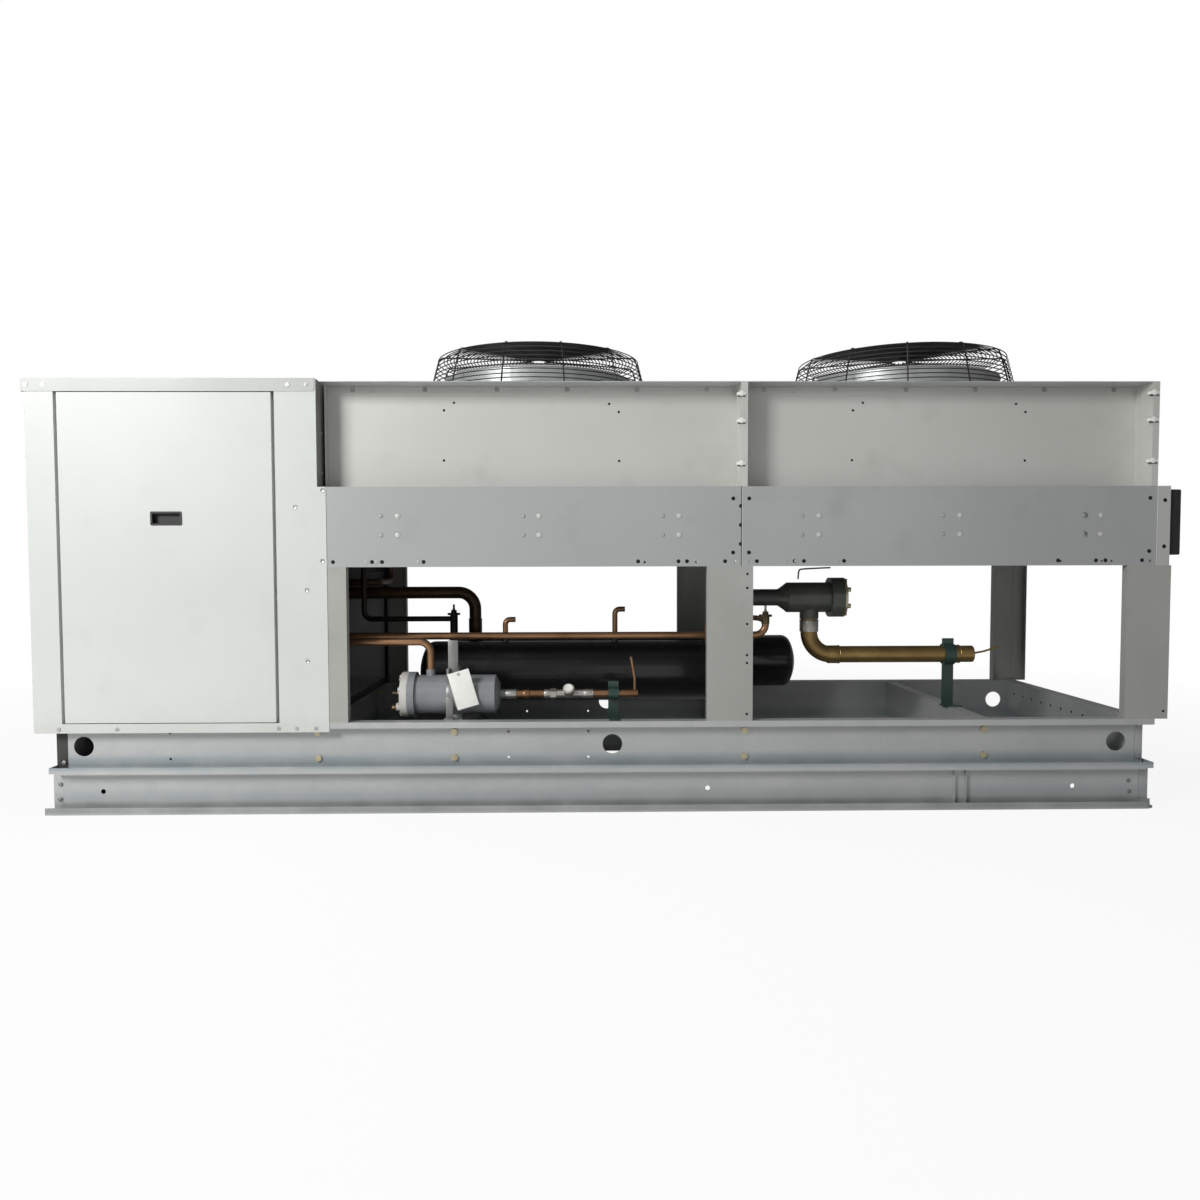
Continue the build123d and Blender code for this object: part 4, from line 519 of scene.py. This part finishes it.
cameraLook = {"place": (-0.0801, -3.834, 0.9258), "turn": -0.81646, "tilt": -2.52388,
              "roll": -0.13694, "lens": 27.015, "sensor": 36.0, "reach": 100}
lens = bpy.data.cameras.new("view")
lens.lens = cameraLook["lens"]
lens.sensor_width = cameraLook["sensor"]
lens.clip_end = cameraLook["reach"]
camera = bpy.data.objects.new("view", lens)
bpy.context.collection.objects.link(camera)
bearing = Matrix.Rotation(math.radians(cameraLook["turn"]), 4, "Z")
bearing = bearing @ Matrix.Rotation(math.radians(90 + cameraLook["tilt"]), 4, "X")
bearing = bearing @ Matrix.Rotation(math.radians(cameraLook["roll"]), 4, "Z")
camera.matrix_world = Matrix.Translation(cameraLook["place"]) @ bearing
bpy.context.scene.camera = camera
bpy.context.scene.view_settings.view_transform = "Standard"

lampLook = {
    "key": {"place": (-4.6, -5.2, 3.6), "aim": (-1.2, 0, 0.9), "size": 2.0, "power": 360},
    "fill": {"place": (1.5, -6.0, 1.6), "aim": (0.6, 0, 0.7), "size": 3.0, "power": 14},
    "top": {"place": (-0.6, -0.6, 5.0), "aim": (0, 0, 1.0), "size": 3.5, "power": 70},
}
for name, look in lampLook.items():
    lamp = bpy.data.lights.new(name, "AREA")
    lamp.size = look["size"]
    lamp.energy = look["power"]
    holder = bpy.data.objects.new(name, lamp)
    holder.location = look["place"]
    aim = Vector(look["aim"]) - Vector(look["place"])
    holder.rotation_euler = aim.to_track_quat("-Z", "Y").to_euler()
    bpy.context.collection.objects.link(holder)

# the sky is white to the eye and in glass, and dim as light on the unit
skyLook = {"dim": 0.17, "white": 1.0}
white = (1, 1, 1, 1)
world = bpy.data.worlds.new("studio")
bpy.context.scene.world = world
world.use_nodes = True
sky = NodeTree(world.node_tree)
path = sky.make("ShaderNodeLightPath").outputs
seen = sky.make("ShaderNodeMath", {"operation": "MAXIMUM"},
                {0: path["Is Camera Ray"], 1: path["Is Transmission Ray"]})
strength = sky.make("ShaderNodeMapRange", None, {"Value": seen.outputs[0], "To Min": skyLook["dim"],
                                                 "To Max": skyLook["white"]})
light = sky.make("ShaderNodeBackground", None, {"Color": white, "Strength": strength.outputs[0]})
sky.make("ShaderNodeOutputWorld", None, {0: light.outputs[0]})

floorLook = {"size": 60, "drop": 0.0005, "colour": (0.86, 0.86, 0.86), "rough": 0.9, "nearGlow": 0.90,
             "fade": (2.6, 5.5)}
clearSelection()
bpy.ops.mesh.primitive_plane_add(size=floorLook["size"], location=(0, 0, -floorLook["drop"]))
floor = bpy.context.object
floor.name = "studioFloor"
paint = Shader("studioFloor")
paint.plug("Base Color", tone(floorLook["colour"]))
paint.plug("Roughness", floorLook["rough"])
reach = paint.make("ShaderNodeVectorMath", {"operation": "LENGTH"}, {0: paint.place})
far = paint.band(reach.outputs["Value"], *floorLook["fade"])
glow = paint.make("ShaderNodeEmission", None, {"Color": white, "Strength": 1.0})
eye = Value(paint, paint.make("ShaderNodeLightPath").outputs["Is Camera Ray"])
cast = eye * (far * (1 - floorLook["nearGlow"]) + floorLook["nearGlow"])
blend = paint.make("ShaderNodeMixShader", None,
                   {0: cast, 1: paint.surface.outputs[0], 2: glow.outputs[0]})
paint.feed(paint.output.inputs[0], blend.outputs[0])
floor.data.materials.append(paint.material)
print("stage set")

# fan guards: wire rings on bent ribs, each rib given as distance out and height above the deck
guard = {"foot": 0.459, "shoulder": 0.414, "hub": 0.036, "rise": 0.181, "crown": 0.010, "lift": 0.003,
         "wire": 0.0021, "ribWire": 0.0030, "ribs": 12, "ribSides": 2, "sideRings": 10, "sideGap": 0.6,
         "topRings": 27, "topInset": 0.020, "topDrop": 0.004,
         "ribShape": ((0.459, 0.003), (0.436, 0.095), (0.417, 0.165), (0.405, 0.1815),
                      (0.385, 0.1825), (0.24, 0.188), (0.032, 0.191)),
         "pads": 6, "padOut": 0.465, "padHalf": 0.012, "padTall": 0.007, "padEdge": 0.002}


def makeGuard(middle, name):
    parts = []
    hub = Vector((middle, 0, deckTop))
    for number in range(guard["sideRings"] + 1):
        share = number / (guard["sideRings"] + guard["sideGap"])
        radius = guard["foot"] + (guard["shoulder"] - guard["foot"]) * share
        level = guard["lift"] + guard["rise"] * share
        parts.append(ring(radius, guard["wire"], hub + Vector((0, 0, level))))
    outer = guard["shoulder"] - guard["topInset"]
    for number in range(guard["topRings"]):
        share = number / (guard["topRings"] - 1)
        radius = outer + (guard["hub"] - outer) * share
        level = guard["rise"] + guard["crown"] * math.sin(share * math.pi / 2) - guard["topDrop"]
        parts.append(ring(radius, guard["wire"], hub + Vector((0, 0, level))))
    for x, y in spokes(guard["ribs"], 0.5):
        route = [hub + Vector((x * out, y * out, high)) for out, high in guard["ribShape"]]
        parts.append(rodAlong(route, guard["ribWire"], guard["ribSides"]))
    half = guard["padHalf"]
    for x, y in spokes(guard["pads"]):
        spot = hub + Vector((x, y, 0)) * guard["padOut"]
        parts.append(bar(spot - Vector((half, half, 0)), spot + Vector((half, half, guard["padTall"])),
                         guard["padEdge"]))
    cage = finishPiece(joinPieces(parts), name, "guard_wire")
    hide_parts("fan_guards")


for side, middle in zip(("Left", "Right"), fanPlaces):
    makeGuard(middle, "fanGuard" + side)
bead = {"radius": 0.3925, "wire": 0.0035, "sides": 96}
for side, middle in zip(("Left", "Right"), fanPlaces):
    spot = (middle, 0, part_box("fan_decks")[1].z - bead["wire"])
    finishPiece(ring(bead["radius"], bead["wire"], spot, around=bead["sides"]), "collarBead" + side,
                "collar_sheet")
print("guards done")

# coil casing: pairs of pressed dots, given as distances from each module's left end
casing = {
    "pairs": (((0.218, 0.278), (0.732, 0.789), (1.238, 1.297)),
              ((0.221, 0.283), (0.736, 0.799), (1.257, 1.317))),
    "rows": (1.018, 1.087), "dotGap": 0.0002,
    "dot": {"radius": 0.0088, "depth": 0.0030, "rim": 0.0015},
    "smallDot": {"radius": 0.00616, "depth": 0.0030, "rim": 0.0015},
    "smallRing": {"radius": 0.00748, "wire": 0.0010, "around": 24},
    "boltHead": {"radius": 0.0105, "depth": 0.0034, "sides": 6, "rim": 0.001},
    "boltEnd": {"radius": 0.0062, "depth": 0.0056, "rim": 0.001},
    "jointHoles": ((-0.030, 1.149), (0.028, 1.149), (-0.030, 0.953), (0.028, 0.953),
                   (-0.002, 1.122), (-0.002, 1.053), (-0.002, 0.984)),
    "endHoles": ((-0.0265, 1.149), (-0.0265, 0.955), (0.0285, 1.141), (0.0285, 0.972)),
    "lowRow": (1.090, 1.231, 1.267, 1.417, 2.195, 2.342, 2.373, 2.512, 2.628, 2.766, 2.800, 2.947,
               3.733, 3.873, 3.908, 4.043),
    "lowRise": 0.0185, "hole": {"radius": 0.0072, "depth": 0.0010, "dish": 0.0006},
    "screws": ((1.0560, 1.181), (0.957, 1.121), (1.0525, 0.926), (0.995, 0.821), (0.994, 0.563)),
    "screwSkirt": 0.012, "screw": {"radius": 0.0070, "depth": 0.0034, "rim": 0.0012, "dish": 0.0012},
    "seamHalf": 0.0012, "seam": {"proud": 0.0008, "sunk": 0.001, "edge": 0.0003},
    "foldHighlightPlaces": (joint + 0.0018, caseRight + 0.0005), "foldHighlightWide": 0.0035, "foldHighlightShort": 0.002,
    "foldHighlight": {"proud": 0.0009, "sunk": 0.001, "edge": 0.0006},
}
smallSpots, brightSpots = [], []
for start, pairs in zip(moduleStarts, casing["pairs"]):
    for small, bright in pairs:
        smallSpots += [(start + small, level) for level in casing["rows"]]
        brightSpots += [(start + bright, level) for level in casing["rows"]]
lifted = (0, front + casing["dotGap"], 0)
dot = knob(lifted, toFront, **casing["dot"])
finishPiece(spread(dot, inFront(brightSpots)), "pressedDots", "plenum_sheet")
dot = joinPieces([knob(lifted, toFront, **casing["smallDot"]),
                  ring(spot=(0, front, 0), axis=toFront, **casing["smallRing"])])
finishPiece(spread(dot, inFront(smallSpots[:-2])), "pressedStuds", "band_sheet")
stud = joinPieces([knob((0, front, 0), toFront, **casing[part]) for part in ("boltHead", "boltEnd")])
finishPiece(spread(stud, inFront(smallSpots[-2:])), "casingStuds", "screw_steel")

lowRow = bandLow + casing["lowRise"]
holeSpots = [(joint + x, z) for x, z in casing["jointHoles"]]
holeSpots += [(caseRight + x, z) for x, z in casing["endHoles"]]
holeSpots += [(cabinetLeft + x, lowRow) for x in casing["lowRow"]]
# black discs: painted shade inside the holes
hole = knob((0, front, 0), toFront, **casing["hole"])
finishPiece(spread(hole, inFront(holeSpots)), "casingHoles", "hole_dark")

screwShifts = []
for x, z in casing["screws"]:
    onCasing = cabinetLeft + x > caseLeft + casing["screwSkirt"]
    screwShifts.append(Vector((cabinetLeft + x, front if onCasing else skirtFace, z)))
screw = knob((0, 0, 0), toFront, **casing["screw"])
finishPiece(spread(screw, screwShifts), "sheetScrews", "screw_steel")

seam = strip(front, (joint - casing["seamHalf"], joint + casing["seamHalf"]), (bandLow, bandHigh),
             **casing["seam"])
finishPiece(seam, "casingSeam", "hole_dark")
# pale bars at the module joint and at the casing's right edge: a painted highlight along these edges
foldHighlightLevels = (bandLow + casing["foldHighlightShort"], bandHigh - casing["foldHighlightShort"])
foldHighlightBars = [strip(front, (x, x + casing["foldHighlightWide"]), foldHighlightLevels, **casing["foldHighlight"])
         for x in casing["foldHighlightPlaces"]]
finishPiece(joinPieces(foldHighlightBars), "foldHighlights", "plenum_sheet")
print("casing dressed")

# plenum: angle strips with rivets under the deck, then clips over the joints; drops are from the deck
plenum = {
    "stripSpans": ((caseLeft + 0.012, joint - 0.016), (joint + 0.028, caseRight - 0.040)),
    "stripDrops": (0.032, 0.002), "strip": {"proud": 0.0035, "sunk": 0.0005, "edge": 0.0012},
    "rivetRow": (0.097, 0.363, 0.630, 0.890, 1.150, 1.411), "rivetDrop": 0.012,
    "rivetHead": {"radius": 0.0092, "depth": 0.0006, "rim": 0.0002},
    "rivetRing": {"radius": 0.0078, "wire": 0.0016, "around": 24}, "ringGap": 0.0040,
    "dotRow": (caseLeft + 0.167, caseLeft + 0.567, caseLeft + 0.960, joint + 0.209, joint + 0.595,
               joint + 0.982, joint + 1.375),
    "dotDrop": 0.0225, "dot": {"radius": 0.0056, "depth": 0.0020, "rim": 0.0006},
    "holes": ((0.470, 0.060), (0.433, 0.088), (0.431, 0.273), (1.046, 0.064), (1.082, 0.094),
              (1.083, 0.275)),
    "hole": {"radius": 0.0045, "depth": 0.0007, "dish": 0.0005},
}
stripFace = panelFace - plenum["strip"]["proud"]
stripLevels = [deckTop - drop for drop in plenum["stripDrops"]]
strips = [strip(panelFace, span, stripLevels, **plenum["strip"]) for span in plenum["stripSpans"]]
finishPiece(joinPieces(strips), "deckAngles", "plenum_sheet")
rivet = joinPieces([
    knob((0, stripFace, 0), toFront, **plenum["rivetHead"]),
    ring(spot=(0, panelFace - plenum["ringGap"], 0), axis=toFront, **plenum["rivetRing"])])
rivetSpots = [(start + x, deckTop - plenum["rivetDrop"]) for start in moduleStarts
              for x in plenum["rivetRow"]]
finishPiece(spread(rivet, inFront(rivetSpots)), "deckRivets", "screw_steel")
dot = knob((0, stripFace, 0), toFront, **plenum["dot"])
dotSpots = [(x, deckTop - plenum["dotDrop"]) for x in plenum["dotRow"]]
finishPiece(spread(dot, inFront(dotSpots)), "deckDots", "flange_cream")
# black discs: painted shade inside the holes
hole = knob((0, panelFace, 0), toFront, **plenum["hole"])
holeSpots = [(start + x, deckTop - drop) for start in moduleStarts for x, drop in plenum["holes"]]
finishPiece(spread(hole, inFront(holeSpots)), "panelHoles", "hole_dark")

# clips over the joints: the pale card-coloured plates stand for a painted highlight, and a dark strip
# just under each plate is a painted shadow
clip = {
    "places": (((joint - 0.018, joint + 0.015), (0.048, 0.145, 0.298)),
               ((caseRight - 0.040, caseRight - 0.002), (0.044, 0.141, 0.290))),
    "levels": (-0.003, 0.008), "plate": {"proud": 0.0040, "sunk": 0.012, "edge": 0.0018},
    "headRise": 0.004, "head": {"radius": 0.0100, "depth": 0.0048, "rim": 0.0015},
    "shadowShort": 0.003, "stripLevels": (-0.0075, -0.0035),
    "strip": {"proud": 0.0030, "sunk": 0.006, "edge": 0.0008},
}
clips, clipShadows = [], []
for (start, end), drops in clip["places"]:
    for z in [deckTop - drop for drop in drops]:
        levels = [z + rise for rise in clip["levels"]]
        clips.append(strip(front, (start, end), levels, **clip["plate"]))
        clips.append(knob(((start + end) / 2, front, z + clip["headRise"]), toFront, **clip["head"]))
        # a dark strip under the plate: painted shadow
        span = (start + clip["shadowShort"], end - clip["shadowShort"])
        levels = [z + rise for rise in clip["stripLevels"]]
        clipShadows.append(strip(front, span, levels, **clip["strip"]))
finishPiece(joinPieces(clips), "jointClips", "tag_card")
finishPiece(joinPieces(clipShadows), "clipShadows", "wall_dark")

wallScrew = {"back": 0.06, "levels": (1.392, 1.247),
             "head": {"radius": 0.0065, "depth": 0.0035, "rim": 0.001}}
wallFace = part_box("cabinet_right_wall")[1].x
head = knob((wallFace, front + wallScrew["back"], 0), toRight, **wallScrew["head"])
finishPiece(spread(head, inFront((0, z) for z in wallScrew["levels"])), "wallScrews", "screw_steel")
print("plenum dressed")

leg = {"middle": 0.0225, "levels": (0.875, 0.824, 0.692, 0.578, 0.549, 0.361), "right": (0.0405, 0.365),
       "hole": {"radius": 0.0045, "depth": 0.0007, "dish": 0.0005}}
holeSpots = [(joint + leg["middle"], z) for z in leg["levels"]]
holeSpots.append((caseRight + leg["right"][0], leg["right"][1]))
# black discs: painted shade inside the holes
hole = knob((0, front, 0), toFront, **leg["hole"])
finishPiece(spread(hole, inFront(holeSpots)), "legHoles", "hole_dark")
print("legs dressed")

# brazed sockets on the pipes: each has a body and a rolled lip
liquidRadius, suctionRadius = 0.0143, 0.0334
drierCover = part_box("drier_cover")
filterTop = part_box("suction_filter")[1].z
filterY = centre(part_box("suction_filter"))[1]
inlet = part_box("suction_inlet_line")
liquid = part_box("liquid_line")
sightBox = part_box("sight_glass")
drierY = centre(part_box("filter_drier"))[1]
lineY, lineZ = centre(liquid)[1], liquid[0].z + liquidRadius
dropX, pipeZ = inlet[0].x + suctionRadius, inlet[0].z + suctionRadius
sightIn, sightOut = sightBox[0].x - 0.012, sightBox[1].x - 0.010
socket = {"rim": 0.0012, "lip": 0.0018, "sides": 40}


def makeSocket(name, slot, radius, length, spot, way):
    body = knob(spot, way, radius, length, socket["sides"], socket["rim"])
    lip = ring(radius, socket["lip"], Vector(spot) + Vector(way) * length, way, socket["sides"])
    finishPiece(joinPieces([body, lip]), name, slot)


sockets = {
    "drierOutletSocket": ("socket_silver", 0.0178, 0.040, (-0.392, lineY, lineZ), toRight),
    "sightInletSocket": ("socket_silver", 0.0172, 0.026, (sightIn, lineY, lineZ), toRight),
    "sightOutletSocket": ("socket_silver", 0.0172, 0.034, (sightOut, lineY, lineZ), toRight),
    "liquidCoupling": ("copper_tube", 0.0172, 0.022, (-0.325, lineY, lineZ), toRight),
    "filterNozzle": ("socket_silver", 0.0372, 0.046, (dropX, filterY, inlet[1].z - 0.052), upward),
    "inletSocket": ("aged_copper", 0.0362, 0.045, (dropX + 0.075, filterY, pipeZ), toRight),
    "inletCoupling": ("aged_copper", 0.0362, 0.030, (1.392, filterY, pipeZ), toRight),
}
for name, settings in sockets.items():
    makeSocket(name, *settings)

glass = {"place": (0.082, 0.003, -0.010), "way": (0, -0.75, 0.66),
         "window": {"radius": 0.0165, "depth": 0.006, "sides": 32, "rim": 0.001, "dish": 0.002},
         "bezel": {"radius": 0.0195, "wire": 0.0028, "around": 40}}
glassSpot = Vector((sightBox[0].x, sightBox[0].y, sightBox[1].z)) + Vector(glass["place"])
finishPiece(knob(glassSpot, glass["way"], **glass["window"]), "sightWindow", "tag_card")
finishPiece(ring(spot=glassSpot, axis=glass["way"], **glass["bezel"]), "sightBezel", "socket_silver")

capillary = {"radius": 0.0032,
             "route": ((-0.045, -0.006), (-0.045, 0.030), (-0.030, 0.036), (0.085, 0.040))}
route = [(dropX + x, filterY, filterTop + z) for x, z in capillary["route"]]
finishPiece(rodAlong(route, capillary["radius"]), "filterTube", "line_dark")
print("pipes dressed")

# a thin card on a wire loop, leaning on the drier
tag = {"half": (0.041, 0.0006, 0.070), "shift": (0.004, 0.0012, 0.082), "lean": -16.0,
       "edge": 0.0004, "corner": 0.0003, "eye": (-0.0165, -0.0008, 0.0560),
       "eyelet": {"radius": 0.0045, "wire": 0.0012, "around": 24}, "loopWire": 0.0009,
       "loop": ((-0.0165, -0.0006, 0.0560), (-0.020, 0.004, 0.072), (-0.012, 0.012, 0.084))}
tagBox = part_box("paper_tag")
tagMiddle = Vector((centre(tagBox)[0], tagBox[0].y, tagBox[0].z)) + Vector(tag["shift"])
card = bar([-size for size in tag["half"]], tag["half"], tag["edge"])
applyBevel(card, tag["corner"], segments=1)
card.data.transform(Matrix.Rotation(math.radians(tag["lean"]), 4, "Y"))
card.data.transform(Matrix.Translation(tagMiddle))
eyelet = ring(spot=tagMiddle + Vector(tag["eye"]), axis=toFront, **tag["eyelet"])
loop = rodAlong([tagMiddle + Vector(point) for point in tag["loop"]], tag["loopWire"])
finishPiece(joinPieces([eyelet, loop]), "tagEyelet", "strap_grey")
finishPiece(card, "tagCard", "tag_card")
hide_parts("paper_tag")
print("tag drawn")

# base and skid: plates in the mouths of the rails, with their bolts and holes
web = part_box("base_rail_front")[0].y + 0.050
baseLeft, baseRight = [corner.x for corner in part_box("base_rail_front")]
skidLeft, skidRight = [corner.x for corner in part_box("skid_rail_front")]
skid = {
    "pocketShadeSpan": (cabinetLeft + 0.884, cabinetLeft + 0.892), "pocketShadeLevels": (0.008, 0.146),
    "pocketShade": {"proud": 0.0022, "sunk": 0.001, "edge": 0.0006},
    "holeRow": (-0.42, 0.085, 11), "holeDrop": 0.055,
    "hole": {"radius": 0.0055, "depth": 0.0008, "dish": 0.0005},
    "boltSpots": ((0.062, 0.104), (0.059, 0.048), (4.040, 0.095), (4.044, 0.054)),
    "bolt": {"radius": 0.0085, "depth": 0.006, "sides": 6, "rim": 0.001},
    "seamSpan": (caseRight - 0.012, caseRight - 0.0095), "seamLevels": (0.345, 0.895),
    "seam": {"proud": 0.0006, "sunk": 0.0005, "edge": 0.0002},
    "tabSpans": ((skidLeft + 0.006, skidLeft + 0.075), (skidRight - 0.078, skidRight - 0.008)),
    "tabLevels": (0.006, 0.146), "tab": {"proud": 0.0008, "sunk": 0.0030, "edge": 0.0005},
}
# a thin dark bar at the edge of the skid's pocket: painted shade where the web steps back
pocketShade = strip(web, skid["pocketShadeSpan"], skid["pocketShadeLevels"], **skid["pocketShade"])
finishPiece(pocketShade, "skidPocketShade", "strap_grey")
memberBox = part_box("base_end_right")
firstY, pitch, count = skid["holeRow"]
# black discs: painted shade inside the holes
hole = knob((memberBox[0].x, 0, memberBox[1].z - skid["holeDrop"]), toLeft, **skid["hole"])
finishPiece(spread(hole, [Vector((0, firstY + pitch * k, 0)) for k in range(count)]), "memberHoles",
            "hole_dark")
bolt = knob((0, web, 0), toFront, **skid["bolt"])
finishPiece(spread(bolt, inFront((cabinetLeft + x, z) for x, z in skid["boltSpots"])), "skidBolts",
            "strap_grey")
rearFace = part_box("legs_rear")[0].y
seam = strip(rearFace, skid["seamSpan"], skid["seamLevels"], **skid["seam"])
finishPiece(seam, "rearSeam", "strap_grey")

plug = {"row": (0.022, 0.164, 0.2, 0.352),
        "head": {"radius": 0.0068, "depth": 0.0009, "sides": 24, "rim": 0.0003}}
plugSpots = [(start + x, lowRow) for start in moduleStarts for x in plug["row"]]
finishPiece(spread(knob((0, front, 0), toFront, **plug["head"]), inFront(plugSpots)), "casingPlugs",
            "band_sheet")

gusset = {
    "sides": {"Left": (baseLeft + 0.003, baseLeft + 0.051, "wall_dark"),
              "Right": (baseRight - 0.051, baseRight - 0.014, "galvanised_steel")},
    "levels": (0.158, 0.330), "plate": {"proud": 0.0010, "sunk": 0.0030, "edge": 0.0005},
    "boltShift": 0.003, "boltLevels": (0.184, 0.306),
    "bolt": {"radius": 0.0088, "depth": 0.006, "sides": 6, "rim": 0.001},
}
for side, (start, end, slot) in gusset["sides"].items():
    plate = strip(web, (start, end), gusset["levels"], **gusset["plate"])
    finishPiece(plate, "cornerGusset" + side, slot)
    middle = (start + end) / 2 + gusset["boltShift"]
    head = knob((0, web - gusset["plate"]["proud"], 0), toFront, **gusset["bolt"])
    heads = spread(head, inFront((middle, level) for level in gusset["boltLevels"]))
    finishPiece(heads, "cornerBolts" + side, "screw_steel")
tabs = [strip(web, span, skid["tabLevels"], **skid["tab"]) for span in skid["tabSpans"]]
finishPiece(joinPieces(tabs), "skidTabs", "galvanised_steel")
returnSpot = (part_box("suction_return_line")[1].x - 0.027, 0.271, 0.600)
makeSocket("returnSocket", "line_dark", 0.0300, 0.060, returnSpot, upward)
print("base dressed")

# drier: two small fittings on its cover, the cover's bolts and gasket, and the strap that holds it
drier = {
    "fittings": (
        ((-0.018, 0.010, 0.004), {"radius": 0.0075, "depth": 0.026, "sides": 6, "rim": 0.001}),
        ((-0.018, 0.005, -0.052), {"radius": 0.0130, "depth": 0.022, "sides": 24, "rim": 0.002})),
    "bolts": 10, "boltCircle": 0.0775, "boltBack": 0.006,
    "bolt": {"radius": 0.0062, "depth": 0.052, "sides": 6, "rim": 0.0008},
    "gasketBack": 0.001, "gasket": {"radius": 0.0800, "depth": 0.0050, "sides": 48, "rim": 0.001},
    "strapX": -0.6080, "band": {"radius": 0.0762, "depth": 0.026, "sides": 48, "rim": 0.0012},
    "bars": (((0, -0.0790), (0.026, -0.0740), (0.338, lineZ), 0.0008),
             ((-0.004, -0.1050), (0.030, -0.0700), (0.336, 0.341), 0.0008),
             ((-0.004, 0.010), (0.034, 0.015), (lineZ + 0.068, lineZ + 0.205), 0.0010)),
}
coverAxis = Vector((drierCover[0].x, drierY, lineZ))
fittings = [knob(coverAxis + Vector(shift), toRight, **look) for shift, look in drier["fittings"]]
finishPiece(joinPieces(fittings), "drierFittings", "valve_body")
boltX = centre(drierCover)[0] - drier["boltBack"]
bolts = []
for y, z in spokes(drier["bolts"], 0.5):
    spot = (boltX, drierY + drier["boltCircle"] * y, lineZ + drier["boltCircle"] * z)
    bolts.append(knob(spot, toRight, **drier["bolt"]))
finishPiece(joinPieces(bolts), "drierBolts", "strap_grey")
gasketX = drierCover[1].x - drier["gasketBack"]
finishPiece(knob((gasketX, drierY, lineZ), toRight, **drier["gasket"]), "drierGasket", "wall_dark")
strap = [knob((drier["strapX"], drierY, lineZ), toRight, **drier["band"])]
for (lowX, lowY), (highX, highY), (lowZ, highZ), edge in drier["bars"]:
    low = (drier["strapX"] + lowX, drierY + lowY, lowZ)
    strap.append(bar(low, (drier["strapX"] + highX, drierY + highY, highZ), edge))
finishPiece(joinPieces(strap), "drierStrap", "strap_grey")
print("drier dressed")
